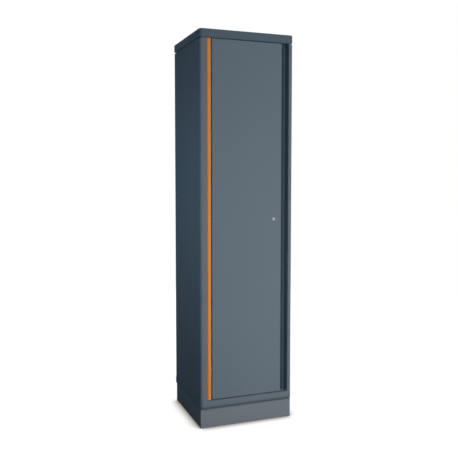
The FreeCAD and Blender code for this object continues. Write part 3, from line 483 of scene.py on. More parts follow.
def makePaint(name, finish):
    look = paintLook
    base, worn = finish["colour"], finish["worn"]
    dark, pale = look["tones"]
    spread = look["roughSpread"]
    material, tree, shader = newMaterial(name)
    powder = effect(tree, "powder")
    colour = blend(tree, powder["Tone"], shaded(base, dark), shaded(base, pale))
    grain = stepUp(tree, powder["Grain"], *look["grain"])
    colour = blend(tree, grain, colour, shaded(base, look["grainTone"]))
    rough = calc(tree, "MULTIPLY_ADD", powder["Tone"], spread, finish["rough"] - spread / 2)
    if "scuffs" in finish:
        scuffs = effect(tree, "scuffs", Amount=finish["scuffs"])
        # a paler film low down, partly dust and partly painted bounce light
        colour = blend(tree, scuffs["DustAndBounce"], colour, (*look["film"], 1))
        colour = blend(tree, scuffs["Mask"], colour, shaded(worn, look["scuffTone"]))
        # painted shadow under the base band, at the front
        shadowLine = calc(tree, "MULTIPLY", scuffs["Seam"], look["shadowLineAmount"])
        colour = blend(tree, shadowLine, colour, shaded(base, look["shadowLineTone"]))
    # painted shade in the recess behind the door's edge
    if "recessShade" in finish:
        recessShade = effect(tree, "recessShade", Amount=finish["recessShade"])["Mask"]
        colour = blend(tree, recessShade, colour, shaded(base, look["recessShadeTone"]))
    wear = calc(tree, "MULTIPLY", effect(tree, "wear")["Mask"], look["wearAmount"])
    colour = blend(tree, wear, colour, shaded(worn, 1.0))
    if "dust" in finish:
        dust = effect(tree, "dust", Amount=finish["dust"])["Mask"]
        colour = blend(tree, dust, colour, (*look["dust"], 1))
        rough = calc(tree, "MULTIPLY_ADD", dust, look["dustRough"], rough, clamp=True)
    feed(tree, shader.inputs["Base Color"], colour)
    feed(tree, shader.inputs["Roughness"], rough)
    shader.inputs["Specular IOR Level"].default_value = finish["gloss"]
    addBump(tree, shader, powder["Height"], look["peelDepth"])
    return material


zincLook = {
    "crystals": (0.82, 1.1),  # shares of the colour, from the dullest crystal to the brightest
    "stainScale": 11.0, "stains": (0.5, 0.8), "stainAmount": 0.5, "stainTone": 0.62,
    "roughSpread": 0.16, "metal": 0.85, "grainScale": 240.0, "grainDepth": 0.00003,
}


def makeZinc(name, colour, cells, rough):
    # hot-dip zinc: flat crystals of different brightness, with duller patches
    look = zincLook
    dull, bright = look["crystals"]
    material, tree, shader = newMaterial(name)
    crystals = put(tree, "ShaderNodeTexVoronoi")
    crystals.inputs["Scale"].default_value = cells
    feed(tree, crystals.inputs["Vector"], put(tree, "ShaderNodeTexCoord").outputs["Object"])
    split = put(tree, "ShaderNodeSeparateColor")
    feed(tree, split.inputs[0], crystals.outputs["Color"])
    surface = blend(tree, split.outputs[0], shaded(colour, dull), shaded(colour, bright))
    stain = stepUp(tree, noise(tree, look["stainScale"], 6.0, rough=0.7), *look["stains"])
    stain = calc(tree, "MULTIPLY", stain, look["stainAmount"])
    surface = blend(tree, stain, surface, shaded(colour, look["stainTone"]))
    feed(tree, shader.inputs["Base Color"], surface)
    spread = calc(tree, "MULTIPLY_ADD", split.outputs[1], look["roughSpread"], rough)
    feed(tree, shader.inputs["Roughness"], spread)
    shader.inputs["Metallic"].default_value = look["metal"]
    addBump(tree, shader, noise(tree, look["grainScale"], 3.0), look["grainDepth"])
    return material


smallLooks = {
    "plate": {
        "peel": 90.0, "tone": 60.0, "edge": 0.0006, "tones": (0.8, 1.05), "wearAmount": 0.5,
        "wornTone": 1.2, "roughSpread": 0.2, "depth": 0.00001,
        "scratchScale": 260.0, "stretch": (1.0, 1.0, 0.06),
    },
    "moulded": {
        "peel": 900.0, "tone": 14.0, "edge": 0.0008, "tones": (0.7, 1.5), "wearAmount": 0.4,
        "wornTone": 3.5, "roughSpread": 0.2, "depth": 0.00005, "gloss": 0.3,
    },
}


def wornColour(tree, shader, look, colour):
    # a tone that drifts between two shares of the colour, and another one along worn edges
    dark, pale = look["tones"]
    powder = effect(tree, "powder", **{"Peel Scale": look["peel"], "Tone Scale": look["tone"]})
    wear = effect(tree, "wear", Radius=look["edge"])["Mask"]
    surface = blend(tree, powder["Tone"], shaded(colour, dark), shaded(colour, pale))
    wear = calc(tree, "MULTIPLY", wear, look["wearAmount"])
    surface = blend(tree, wear, surface, shaded(colour, look["wornTone"]))
    feed(tree, shader.inputs["Base Color"], surface)
    return powder


def unevenRough(tree, shader, look, amount, rough):
    spread = look["roughSpread"]
    feed(tree, shader.inputs["Roughness"], calc(tree, "MULTIPLY_ADD", amount, spread, rough - spread / 2))


def makePlate(name, colour, rough):
    # bright plate, finely scratched, darker in patches and worn along its edges
    look = smallLooks["plate"]
    material, tree, shader = newMaterial(name)
    wornColour(tree, shader, look, colour)
    scratches = noise(tree, look["scratchScale"], 4.0, stretch=look["stretch"])
    unevenRough(tree, shader, look, scratches, rough)
    shader.inputs["Metallic"].default_value = 1.0
    addBump(tree, shader, scratches, look["depth"])
    return material


def makeMoulded(name, colour, rough):
    # black plastic or rubber with a fine eroded texture
    look = smallLooks["moulded"]
    material, tree, shader = newMaterial(name)
    powder = wornColour(tree, shader, look, colour)
    unevenRough(tree, shader, look, powder["Tone"], rough)
    shader.inputs["Specular IOR Level"].default_value = look["gloss"]
    addBump(tree, shader, powder["Height"], look["depth"])
    return material


finishes = {name: makePaint(name, finish) for name, finish in paints.items()}
finishes["zincSheet"] = makeZinc("zincSheet", (0.5, 0.52, 0.54), 130.0, 0.42)
finishes["zincPart"] = makePlate("zincPart", (0.58, 0.59, 0.6), 0.36)
finishes["lockChrome"] = makePlate("lockChrome", (0.43, 0.43, 0.44), 0.2)
finishes["guidePlastic"] = makeMoulded("guidePlastic", (0.03, 0.03, 0.032), 0.5)
finishes["bufferRubber"] = makeMoulded("bufferRubber", (0.02, 0.02, 0.021), 0.75)

slotFinishes = {
    "body_paint": "bodyPaint", "door_paint": "doorPaint", "cap_paint": "capPaint",
    "accent_paint": "stripPaint", "recess_paint": "recessShadedPaint", "shelf_paint": "shelfPaint",
    "zinc_sheet": "zincSheet", "zinc_part": "zincPart", "lock_chrome": "lockChrome",
    "guide_plastic": "guidePlastic", "buffer_rubber": "bufferRubber",
}
print("finishes made:", len(finishes))


# shapes

def wrapped(path, thickness, inside=0.9, radii=None, steps=6):
    # A sheet bent along a path, both in millimetres. The near face follows the path and the far face
    # lies one thickness to its left. At a corner both turn about one centre: point = centre + radius * u,
    # where u turns evenly from one side's normal to the next.
    path = np.array(path, float)
    ways = np.diff(path, axis=0)
    ways /= np.linalg.norm(ways, axis=1)[:, None]
    lefts = np.stack([-ways[:, 1], ways[:, 0]], axis=1)
    near, far = [path[:1]], [path[:1] + lefts[:1] * thickness]
    for i in range(1, len(path) - 1):
        turn = math.atan2(ways[i - 1, 0] * ways[i, 1] - ways[i - 1, 1] * ways[i, 0], ways[i - 1] @ ways[i])
        side = math.copysign(1, turn)
        radius = (radii or {}).get(i, inside)
        nearRadius, farRadius = (radius + thickness, radius) if side > 0 else (radius, radius + thickness)
        setBack = ways[i - 1] * nearRadius * math.tan(abs(turn) / 2)
        centre = path[i] - setBack + lefts[i - 1] * nearRadius * side
        start = -lefts[i - 1] * side
        angles = np.linspace(0, turn, steps + 1)[:, None]
        u = start * np.cos(angles) + np.array([-start[1], start[0]]) * np.sin(angles)
        near.append(centre + u * nearRadius)
        far.append(centre + u * farRadius)
    near.append(path[-1:])
    far.append(path[-1:] + lefts[-1:] * thickness)
    return np.concatenate(near), np.concatenate(far)


def carried(near, far, low, high, axis):
    # The strip between two lines of points, carried straight from low to high along an axis.
    count = len(near)
    loop = np.concatenate([near, far[::-1]])
    order = {"x": (2, 0, 1), "y": (0, 2, 1), "z": (0, 1, 2)}[axis]
    levels = [np.column_stack([loop, np.full(2 * count, level)])[:, order] for level in (low, high)]
    here = np.arange(2 * count)
    there = np.roll(here, -1)
    sides = np.stack([here, there, there + 2 * count, here + 2 * count], axis=1)
    i = np.arange(count - 1)
    ends = np.stack([i, i + 1, 2 * count - 2 - i, 2 * count - 1 - i], axis=1)
    return np.concatenate(levels), np.concatenate([sides, ends[:, ::-1], ends + 2 * count]).tolist()


def upright(path, low, high, **bends):
    # a sheet bent along a path over x and y
    return carried(*wrapped(path, sheet, **bends), low, high, "z")


def bands(rings, count, closed=False):
    # the faces between rings of points, with both ends filled unless the last ring joins the first
    k, s = np.meshgrid(np.arange(rings if closed else rings - 1), np.arange(count), indexing="ij")
    here, there, beside = k * count, (k + 1) % rings * count, (s + 1) % count
    quads = np.stack([here + s, here + beside, there + beside, there + s], axis=-1)
    faces = quads.reshape(-1, 4).tolist()
    if not closed:
        faces += [list(range(count))[::-1], list(range((rings - 1) * count, rings * count))]
    return faces


def turned(profile, centre, axis, sides=32, closed=False):
    # A profile of (radius, height) turned about an axis. A third number in a row cuts six lobes:
    # radius * (1 + lobe * cos 6a).
    rows = np.array([(*row, 0.0)[:3] for row in profile], float)
    axis = np.array(axis, float)
    first = np.cross(axis, (0.0, 0.0, 1.0)) if abs(axis[2]) < 0.5 else np.array([1.0, 0.0, 0.0])
    second = np.cross(axis, first)
    a = np.linspace(0, 2 * math.pi, sides, endpoint=False)
    radius = rows[:, :1] * (1 + rows[:, 2:] * np.cos(6 * a)[None, :])
    across = np.cos(a)[:, None] * first + np.sin(a)[:, None] * second
    points = np.array(centre, float) + radius[..., None] * across[None] + rows[:, 1, None, None] * axis
    return points.reshape(-1, 3), bands(len(rows), sides, closed)


def arc(centre, radius, start, end, steps=5):
    a = np.radians(np.linspace(start, end, steps + 1))
    return np.stack([centre[0] + radius * np.cos(a), centre[1] + radius * np.sin(a)], axis=1).tolist()


def outlineAt(inset, box, radii, steps=9):
    # A rectangle's outline moved inwards, with its corners' radii less by as much.
    (left, front), (right, rear) = box
    leastRadius = 0.4
    radii = np.maximum(np.array(radii, float) - inset, leastRadius)
    corners = np.array([(left, front), (right, front), (right, rear), (left, rear)], float)
    inwards = np.array([(1, 1), (-1, 1), (-1, -1), (1, -1)], float)
    centres = corners + inwards * (inset + radii)[:, None]
    a = np.radians(np.array([180, 270, 0, 90])[:, None] + np.linspace(0, 90, steps + 1)[None, :])
    turns = np.stack([np.cos(a), np.sin(a)], axis=-1)
    return (centres[:, None] + radii[:, None, None] * turns).reshape(-1, 2)


def pan(section, box, radii):
    # A section of (inset, height) rows carried round an outline, closed across the middle at both ends.
    rings = []
    for inset, height in section:
        rim = outlineAt(inset, box, radii)
        rings.append(np.column_stack([rim, np.full(len(rim), height)]))
    return np.concatenate(rings), bands(len(rings), len(rings[0]))


def block(low, high):
    # a cutter's corners and faces
    (x, y, z), (u, v, w) = low, high
    bottom = [(x, y, z), (u, y, z), (u, v, z), (x, v, z)]
    top = [(x, y, w), (u, y, w), (u, v, w), (x, v, w)]
    points = np.array(bottom + top, float)
    faces = [[0, 3, 2, 1], [4, 5, 6, 7], [0, 1, 5, 4], [1, 2, 6, 5], [2, 3, 7, 6], [3, 0, 4, 7]]
    return points, faces


def asMesh(name, shells):
    # joins shells of (points in millimetres, faces) into one mesh whose faces point outwards
    points, faces, start = [], [], 0
    for spots, polygons in shells:
        points.append(spots)
        faces += [[corner + start for corner in polygon] for polygon in polygons]
        start += len(spots)
    mesh = bpy.data.meshes.new(name)
    mesh.from_pydata((np.concatenate(points) * mm).tolist(), [], faces)
    work = bmesh.new()
    work.from_mesh(mesh)
    bmesh.ops.recalc_face_normals(work, faces=work.faces)
    work.to_mesh(mesh)
    work.free()
    return mesh


def without(piece, cutters):
    # cuts closed shells out of a piece and keeps the result as its mesh
    tool = bpy.data.objects.new("cutter", asMesh("cutter", cutters))
    scene.collection.objects.link(tool)
    cut = piece.modifiers.new("cut", "BOOLEAN")
    cut.operation = "DIFFERENCE"
    cut.solver = "EXACT"
    cut.object = tool
    bpy.context.view_layer.update()
    done = piece.evaluated_get(bpy.context.evaluated_depsgraph_get())
    mesh = bpy.data.meshes.new_from_object(done)
    mesh.name = piece.name
    piece.modifiers.clear()
    piece.data = mesh
    bpy.data.objects.remove(tool)


def addPiece(name, shells, body, slotName, nodes, cutters=None, edge=0.2, crease=32):
    piece = bpy.data.objects.new(name, asMesh(name, shells))
    scene.collection.objects.link(piece)
    if cutters:
        without(piece, cutters)
    piece.data.materials.clear()
    piece.data.materials.append(finishes[slotFinishes[slotName]])
    piece.data.shade_smooth()
    piece.data.set_sharp_from_angle(angle=math.radians(crease))
    if edge:
        soft = piece.modifiers.new("softEdges", "BEVEL")
        soft.width = edge * mm
        soft.segments = 2
        soft.limit_method = "ANGLE"
        soft.angle_limit = math.radians(45)
        soft.harden_normals = True
    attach(piece, body)
    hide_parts(*nodes)
    return piece


def cadBox(node):
    low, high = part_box(node)
    return np.array(low) / mm, np.array(high) / mm


sheet = 1.2
railSheet = 1.5
sideLow, sideHigh = cadBox("side_panel_left")
rightLow, rightHigh = cadBox("side_panel_right")
stripLow, stripHigh = cadBox("accent_strip")
headerLow, headerHigh = cadBox("header_rail")
skinLow, skinHigh = cadBox("door_skin")
gripLow, gripHigh = cadBox("door_grip_channel")
hingeBoxes = [cadBox(f"hinge_bracket_{end}") for end in ("bottom", "middle", "top")]
hingeLevels = [(low[2] + high[2]) / 2 for low, high in hingeBoxes]
hingeStop = hingeBoxes[0][1][1]


# cap, base and plinth

trays = {
    "cap": {
        "node": "top_cap", "name": "cap_shell", "slot": "cap_paint",
        "flange": 17, "top": 2.6, "bottom": 1.6,
    },
    "base": {
        "node": "base_pan", "name": "base_band", "slot": "body_paint",
        "flange": 30, "top": 1.8, "bottom": 6.0,
    },
}
trayShape = {"corners": (20, 20, 3, 3), "reach": 60, "fold": 2}


def makeTray(setup):
    (left, front, low), (right, rear, high) = cadBox(setup["node"])
    flange, top, bottom = setup["flange"], setup["top"], setup["bottom"]
    reach, fold = trayShape["reach"], trayShape["fold"]
    section = [(reach, high - sheet), (sheet + fold, high - sheet)]
    section += [(sheet, high - sheet - fold), (sheet, low + bottom)]
    section += [(bottom, low + sheet), (flange, low + sheet), (flange, low)]
    section += arc((bottom, low + bottom), bottom, 270, 180)
    section += arc((top, high - top), top, 180, 90) + [(reach, high)]
    shell = pan(section, ((left, front), (right, rear)), trayShape["corners"])
    addPiece(setup["name"], [shell], "cabinet", setup["slot"], [setup["node"]], edge=0.15)


for setup in trays.values():
    makeTray(setup)


plinth = {"flange": 20, "bend": 0.6, "clear": 1}


def makePlinth():
    # the front and rear channels run along x, the side ones along y, all with their backs outwards
    clear, notch = plinth["clear"], plinth["flange"] - railSheet
    for name, across, along in (("front", 1, 0), ("rear", 1, 0), ("left", 0, 1), ("right", 0, 1)):
        node = f"plinth_{name}"
        low, high = cadBox(node)
        near, far, top = low[across], high[across], high[2]
        if name in ("front", "left"):
            path = [(far, top), (near, top), (near, 0), (far, 0)]
        else:
            path = [(near, 0), (far, 0), (far, top), (near, top)]
        bent = wrapped(path, railSheet, inside=plinth["bend"])
        shell = carried(*bent, low[along], high[along], "xy"[along])
        cutters = []
        # the side channels' flanges are notched at both ends, by cutters that reach past the open sides
        ends = ((low[1], 0), (high[1] - notch, clear)) if along == 1 else ()
        for start, pastEnd in ends:
            for z, pastTop in ((0, 0), (high[2] - railSheet, clear)):
                corner = (low[0] - clear, start - (clear - pastEnd), z - clear)
                end = (high[0] + clear, start + notch + pastEnd, z + railSheet + pastTop)
                cutters.append(block(corner, end))
        addPiece(f"plinth_channel_{name}", [shell], "cabinet", "body_paint", [node], cutters=cutters)


makePlinth()
print("cap, base and plinth made")


# side walls and back

postRadius = 15 - sheet  # 15 on the outside
leftWall = {"rearFlange": 20, "grooveWidth": 21}
rightWall = {"rearFlange": 20, "doorGap": 2.5}


def makeLeftWall():
    (left, front, low), (stopEdge, rear, high) = sideLow, sideHigh
    grooveLeft, grooveFloor = stripLow[0], stripHigh[1]
    jamb = grooveLeft + leftWall["grooveWidth"]
    path = [
        (left + leftWall["rearFlange"], rear), (left, rear), (left, front), (grooveLeft, front),
        (grooveLeft, grooveFloor), (jamb, grooveFloor), (jamb, hingeStop), (stopEdge - sheet, hingeStop),
        (stopEdge - sheet, headerHigh[1]),
    ]
    shell = upright(path, low, high, radii={2: postRadius}, steps=8)
    addPiece("left_wall_sheet", [shell], "cabinet", "body_paint", ["side_panel_left"])


def makeRightWall():
    (stopEdge, front, low), (right, rear, high) = rightLow, rightHigh
    jamb = gripHigh[0] + rightWall["doorGap"]
    lockStop = headerLow[1]
    path = [
        (stopEdge, headerHigh[1]), (stopEdge, lockStop), (jamb, lockStop), (jamb, front), (right, front),
        (right, rear), (right - rightWall["rearFlange"], rear),
    ]
    shell = upright(path, low, high, radii={4: postRadius}, steps=8)
    addPiece("right_wall_sheet", [shell], "cabinet", "body_paint", ["side_panel_right"])


backSheet = {
    "beads": (-120, 120), "halfWidth": 15, "slope": 6, "rise": 2.4, "end": 70,
    "hole": 4.5, "holes": 190, "holeDrop": 90,
    "across": 21, "round": 11, "along": 9,  # grid lines over a bead, its end and its length
}


def makeBack():
    # A grid over x and z. The rise of a bead depends on the distance d from the middle line of its
    # rounded slot: rise * smoothstep of (halfWidth - d) / slope.
    size = backSheet
    low, high = cadBox("back_panel")
    face = high[1] - size["rise"]
    half, slope = size["halfWidth"], size["slope"]
    bump = np.linspace(-half, half, size["across"])
    beadLines = [middle + bump for middle in size["beads"]]
    x = np.unique(np.concatenate([[low[0], 0, high[0]], *beadLines]))
    ends = np.linspace(0, half, size["round"])
    bottom, top = low[2] + size["end"], high[2] - size["end"]
    length = np.linspace(bottom + half, top - half, size["along"])
    z = np.unique(np.concatenate([[low[2], high[2]], bottom + ends, top - ends, length]))
    gridX, gridZ = np.meshgrid(x, z, indexing="ij")
    beyond = np.maximum(np.maximum(bottom + half - gridZ, gridZ - (top - half)), 0)
    rise = np.zeros_like(gridX)
    for middle in size["beads"]:
        t = np.clip((half - np.hypot(gridX - middle, beyond)) / slope, 0, 1)
        rise = np.maximum(rise, size["rise"] * t * t * (3 - 2 * t))
    rearFace = np.stack([gridX, face + rise, gridZ], axis=-1)
    frontFace = rearFace - (0, sheet, 0)
    rows, columns = gridX.shape
    count = rows * columns
    i, j = np.meshgrid(np.arange(rows - 1), np.arange(columns - 1), indexing="ij")
    here, after = i * columns + j, (i + 1) * columns + j
    quads = np.stack([here, here + 1, after + 1, after], axis=-1).reshape(-1, 4)
    index = np.arange(count).reshape(rows, columns)
    rim = np.concatenate([index[0, :-1], index[:-1, -1], index[-1, :0:-1], index[:0:-1, 0]])
    rimQuads = np.stack([rim, np.roll(rim, -1), np.roll(rim, -1) + count, rim + count], axis=1)
    faces = np.concatenate([quads, quads[:, ::-1] + count, rimQuads]).tolist()
    shell = (np.concatenate([rearFace.reshape(-1, 3), frontFace.reshape(-1, 3)]), faces)
    level = high[2] - size["holeDrop"]
    bore = [(size["hole"], -3), (size["hole"], 3)]
    cutters = [turned(bore, (size["holes"] * side, face, level), (0, 1, 0)) for side in (-1, 1)]
    addPiece("back_sheet", [shell], "cabinet", "body_paint", ["back_panel"], cutters=cutters, edge=0.0)


makeLeftWall()
makeRightWall()
makeBack()
print("walls made")


# accent strip

strip = {"crown": 4.0, "points": 25, "edge": 0.6}


def makeStrip():
    # The front follows a rounded crown: depth = thickness * (1 - |u| ** n) ** (1 / n), u from -1 to 1.
    (left, front, low), (right, rear, high) = stripLow, stripHigh
    count, power = strip["points"], strip["crown"]
    u = np.sin(np.linspace(-math.pi / 2, math.pi / 2, count))
    crown = (1 - np.abs(u) ** power) ** (1 / power)
    x = (left + right) / 2 + u * (right - left) / 2
    shoulder = rear - strip["edge"]
    near = np.stack([x, shoulder - (shoulder - front) * crown], axis=1)
    far = np.stack([x, np.full(count, rear)], axis=1)
    shell = carried(near, far, low, high, "z")
    addPiece("strip_profile", [shell], "cabinet", "accent_paint", ["accent_strip"], edge=0.3)


makeStrip()
print("strip made")


# door

doorSheets = {
    "hingeRadius": 2.0, "gripRadius": 1.8, "hem": 6, "lockHole": 7.7,
    "pinDepth": 6,  # from a hinge bracket's front to its pin
    "notchHalf": 4, "notchReach": 3, "notchPast": 0.05,
    "weldFlange": 14, "slope": 7, "lip": 2, "rearFlange": 16,
}
lockLow, lockHigh = cadBox("lock_housing")
lockX, lockZ = (lockLow[0] + lockHigh[0]) / 2, (lockLow[2] + lockHigh[2]) / 2


def lockHole(depth):
    radius = doorSheets["lockHole"]
    return turned([(radius, -3), (radius, 3)], (lockX, depth, lockZ), (0, 1, 0))


def makeDoor():
    sizes = doorSheets
    (left, front, low), (edge, back, high) = skinLow, skinHigh
    path = [(left, back), (left, front), (edge, front), (edge, front + sizes["hem"])]
    radii = {1: sizes["hingeRadius"], 2: sizes["gripRadius"]}
    pinY = hingeBoxes[0][0][1] + sizes["pinDepth"]
    reach = sizes["notchHalf"]
    cutters = []
    for z in hingeLevels:
        start = (left - 1, pinY - sizes["notchReach"], z - reach)
        cutters.append(block(start, (left + sheet + sizes["notchPast"], back + 1, z + reach)))
    cutters.append(lockHole(front))
    shell = upright(path, low, high, radii=radii, steps=8)
    addPiece("door_face", [shell], "door", "door_paint", ["door_skin"], cutters=cutters)

    (weldEdge, gripFront, low), (right, gripBack, high) = gripLow, gripHigh
    channelLeft = weldEdge + sizes["weldFlange"]
    floor = gripBack - 2 * sheet
    slopeTop = right - sizes["lip"]
    path = [
        (weldEdge, front + sheet), (channelLeft, front + sheet), (channelLeft, floor),
        (slopeTop - sizes["slope"], floor), (slopeTop, gripFront), (right, gripFront),
        (right, gripBack), (right - sizes["rearFlange"], gripBack),
    ]
    shell = upright(path, low, high, inside=0.8, radii={4: 0.3, 5: 0.4})
    addPiece("door_finger_recess", [shell], "door", "recess_paint", ["door_grip_channel"])

    low, high = cadBox("door_inner_pan")
    path = [(high[0], high[1]), (low[0], high[1]), (low[0], low[1])]
    shell = upright(path, low[2], high[2])
    cutters = [lockHole(high[1])]
    addPiece("door_rear_sheet", [shell], "door", "door_paint", ["door_inner_pan"], cutters=cutters)


makeDoor()
print("door made")


# shelves

shelfPan = {"corner": 1.6, "edge": 2.4, "reach": 70, "fold": 1}


def makeShelves():
    # an inverted pan: the section goes up the outside, over the edge, and back down the inside
    edge, reach = shelfPan["edge"], shelfPan["reach"]
    inner = edge - sheet
    turns = np.linspace(0, math.pi / 2, 5)
    for number in range(1, 5):
        (left, front, low), (right, rear, high) = cadBox(f"shelf_{number}")
        section = [(reach, high - sheet), (edge + shelfPan["fold"], high - sheet)]
        section += [(sheet + inner * (1 - math.sin(a)), high - edge + inner * math.cos(a)) for a in turns]
        section += [(sheet, low), (0, low)] + arc((edge, high - edge), edge, 180, 90) + [(reach, high)]
        shell = pan(section, ((left, front), (right, rear)), [shelfPan["corner"]] * 4)
        addPiece(f"shelf_pan_{number}", [shell], "cabinet", "shelf_paint", [f"shelf_{number}"], edge=0.15)


makeShelves()
print("shelves made")


# lock

lockParts = {
    "bezel": 8.5, "bezelRise": 2.5, "rim": 1.3, "foot": 0.15,
    "bore": 5.55, "mouth": ((0, -0.5), (0.35, -0.12), (0.75, 0)),
    "barrel": 7.5, "barrelEnd": 0.4,
    "plug": 5.5, "plugFace": ((-1.0, 0), (-0.3, -0.1), (0, -0.4)), "plugEnd": 0.3,
    "dimple": (0.4, 0.05), "keyway": (1.4, 6.0, 3.0), "tail": 3.0,
}


def makeLock():
    parts = lockParts
    front, back = lockLow[1], lockHigh[1]
    outward = (0, -1, 0)
    rise, rim, foot, shoulder = parts["bezelRise"], parts["rim"], parts["foot"], parts["barrelEnd"]
    bezel, bore, barrel = parts["bezel"], parts["bore"], parts["barrel"]
    face = front + rise  # the bezel's seat on the door's face
    depth = face - back
    seat = (lockX, face, lockZ)
    profile = [(bore, depth)] + [(bore + out, rise + up) for out, up in parts["mouth"]]
    profile += [(bezel - rim, rise)]
    for a in np.linspace(0.3, math.pi / 2, 5):
        profile.append((bezel - rim + rim * math.sin(a), rise - rim + rim * math.cos(a)))
    profile += [(bezel, foot), (bezel - foot, 0), (barrel, 0)]
    profile += [(barrel, depth + shoulder), (barrel - shoulder, depth)]
    shell = turned(profile, seat, outward, sides=48, closed=True)
    addPiece("lock_bezel", [shell], "door", "lock_chrome", ["lock_housing"], edge=0.0, crease=40)

    plugLow, plugHigh = cadBox("lock_plug")
    plug, tail, end = parts["plug"], parts["tail"], depth - parts["plugEnd"]
    top = face - plugLow[1]
    middle, sink = parts["dimple"]
    profile = [(middle, top - sink)] + [(plug + out, top + up) for out, up in parts["plugFace"]]
    profile += [(plug, end), (middle, end)]
    width, height, deep = parts["keyway"]
    corner = (lockX - width / 2, plugLow[1] - 1, lockZ - height / 2)
    cutters = [block(corner, (lockX + width / 2, plugLow[1] + deep, lockZ + height / 2))]
    shell = turned(profile, seat, outward, sides=40)
    addPiece(
        "lock_core", [shell], "lock", "lock_chrome", ["lock_plug"], cutters=cutters, edge=0.0, crease=40
    )
    corner = (lockX - tail, back + parts["plugEnd"], lockZ - tail)
    stub = block(corner, (lockX + tail, plugHigh[1], lockZ + tail))
    addPiece("lock_core_tail", [stub], "lock", "lock_chrome", [], edge=0.3)


makeLock()
print("lock made")


# screws, rivets and buffers

fasteners = {
    "screw": {
        "head": 3.6, "rise": 1.5, "shank": 2.0, "length": 6.0, "point": 0.5, "recess": 1.35,
        "recessDepth": 0.9, "middle": 0.3, "taper": 0.92, "lip": 0.05, "lobe": 0.13,
        "steps": (0.0, 0.3, 0.6, 0.82, 0.95, 1.0), "crown": 0.92, "brim": 0.08,
    },
    "rivet": {
        "head": 3.2, "rise": 1.0, "shank": 1.6, "length": 3.4, "recess": 0.9,
        "recessDepth": 0.55, "middle": 0.2, "taper": 0.9,
        "steps": (0.0, 0.35, 0.65, 0.88, 1.0), "crown": 0.9, "brim": 0.1,
    },
    "buffer": {
        "head": 5.0, "shank": 2.5, "length": 4.0, "point": 0.6, "foot": 0.1, "flat": 0.55, "dome": 0.45,
    },
}

fastenerPlaces = {
    "hingeSpread": 17,  # from a hinge's middle to each screw
    "guideTop": 1839.8, "guideBottom": 225,
    "guideReach": 180,  # from the lock to the guide next to it
    "plinthSpread": 185, "plinthSide": 236, "capSpread": 150,
    "rivets": 8,  # down each side
}


def domed(size):
    # rows from the recess's rim to the head's edge: height = rise * sqrt(1 - t * t) * crown + brim
    recess, reach = size["recess"], size["head"] - size["recess"]
    rows = []
    for t in size["steps"]:
        height = size["rise"] * math.sqrt(max(1 - t * t, 0.0)) * size["crown"] + size["brim"]
        rows.append((recess + reach * t, height))
    return rows


def screwShape(seat, outwards):
    # a low domed head with a six-lobed recess, over a plain shank
    size = fasteners["screw"]
    recess, lobe, shank, point = size["recess"], size["lobe"], size["shank"], size["point"]
    dome = domed(size)
    top = dome[0][1]
    floor = top - size["recessDepth"]
    profile = [(size["middle"], floor), (recess * size["taper"], floor, lobe)]
    profile += [(recess, top - size["lip"], lobe)] + dome + [(size["head"], 0), (shank, 0)]
    profile += [(shank, point - size["length"]), (shank - point, -size["length"])]
    return turned(profile, seat, outwards, sides=24)


def rivetShape(seat, outwards):
    # a blind rivet: a domed flange with the broken mandrel a little below it
    size = fasteners["rivet"]
    floor = size["rise"] - size["recessDepth"]
    profile = [(size["middle"], floor), (size["recess"] * size["taper"], floor)]
    profile += domed(size) + [(size["head"], 0), (size["shank"], 0), (size["shank"], -size["length"])]
    return turned(profile, seat, outwards, sides=20)


def bufferShape(seat, outwards):
    # a rubber dome over a plain stem
    size = fasteners["buffer"]
    low = cadBox("door_buffers")[0]
    head, rise = size["head"], headerLow[1] - low[1]
    shank, length, point = size["shank"], size["length"], size["point"]
    turns = np.linspace(0.1, math.pi / 2, 7)
    profile = [(head * math.sin(a), rise * (size["flat"] + size["dome"] * math.cos(a))) for a in turns]
    profile += [(head - size["foot"], 0), (shank, 0), (shank, point - length), (shank - point, -length)]
    return turned(profile, seat, outwards, sides=28)


def addFasteners(name, shape, spots, body, node, slotName="zinc_part"):
    addPiece(name, [shape(*spot) for spot in spots], body, slotName, [node], edge=0.0)


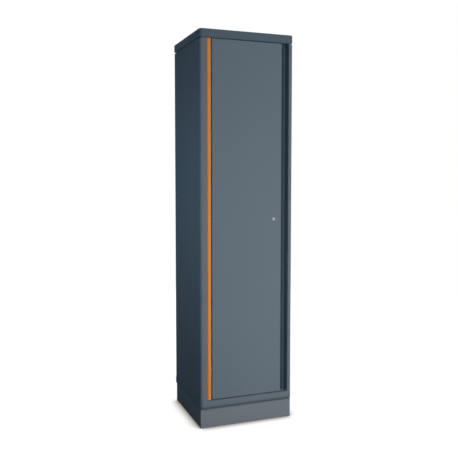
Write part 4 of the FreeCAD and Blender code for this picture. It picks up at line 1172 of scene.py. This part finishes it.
def makeFasteners():
    places, screw, rivet = fastenerPlaces, fasteners["screw"], fasteners["rivet"]
    both = (-1, 1)

    low, high = cadBox("hinge_screws")
    x, seat = (low[0] + high[0]) / 2, low[1] + screw["rise"]
    levels = [level + side * places["hingeSpread"] for level in hingeLevels for side in both]
    spots = [((x, seat, level), (0, -1, 0)) for level in levels]
    addFasteners("hinge_screw_heads", screwShape, spots, "cabinet", "hinge_screws")

    low, high = cadBox("rod_guide_screws")
    middles = [(start[0] + end[0]) / 2 for start, end in (cadBox("upper_rod"), cadBox("lower_rod"))]
    beside = places["guideReach"]
    guides = [(0, places["guideTop"]), (0, lockZ + beside), (1, lockZ - beside), (1, places["guideBottom"])]
    reach = (high[0] - screw["head"]) - middles[0]
    seat = high[1] - screw["rise"]
    seats = [(middles[rod] + hand * reach, seat, level) for rod, level in guides for hand in both]
    spots = [(place, (0, 1, 0)) for place in seats]
    addFasteners("guide_screw_heads", screwShape, spots, "door", "rod_guide_screws")

    for name, node in (("plinth_screw_heads", "plinth_screws"), ("cap_screw_heads", "cap_screws")):
        low, high = cadBox(node)
        seat = low[2] + screw["rise"]
        x, y = high[0] - screw["head"], (low[1] + screw["head"], high[1] - screw["head"])
        if node == "plinth_screws":
            seats = [(side * places["plinthSpread"], depth) for side in both for depth in y]
            seats += [(side * places["plinthSide"], 0) for side in both]
        else:
            seats = [(side * x, way * places["capSpread"]) for side in both for way in both]
            seats += [(side * places["capSpread"], y[1]) for side in both]
        spots = [((*place, seat), (0, 0, -1)) for place in seats]
        addFasteners(name, screwShape, spots, "cabinet", node)

    low, high = cadBox("back_rivets")
    x, seat = high[0] - rivet["head"], high[1] - rivet["rise"]
    levels = np.linspace(low[2] + rivet["head"], high[2] - rivet["head"], places["rivets"])
    spots = [((side * x, seat, level), (0, 1, 0)) for side in both for level in levels]
    addFasteners("back_rivet_heads", rivetShape, spots, "cabinet", "back_rivets")

    low, high = cadBox("door_buffers")
    head = fasteners["buffer"]["head"]
    x, seat = (low[0] + high[0]) / 2, headerLow[1]
    levels = (low[2] + head, (low[2] + high[2]) / 2, high[2] - head)
    spots = [((x, seat, level), (0, -1, 0)) for level in levels]
    addFasteners("buffer_domes", bufferShape, spots, "cabinet", "door_buffers", "buffer_rubber")


makeFasteners()
print("fasteners made")


# every solid that is still shown gets its slot's finish

def dressSolids():
    slots = {part["node"]: part["material_slot"] for part in frame["record"]["subparts"]}
    for name, node in frame["nodes"].items():
        node.data.materials.clear()
        node.data.materials.append(finishes[slotFinishes[slots[name]]])


dressSolids()
print("solids dressed")
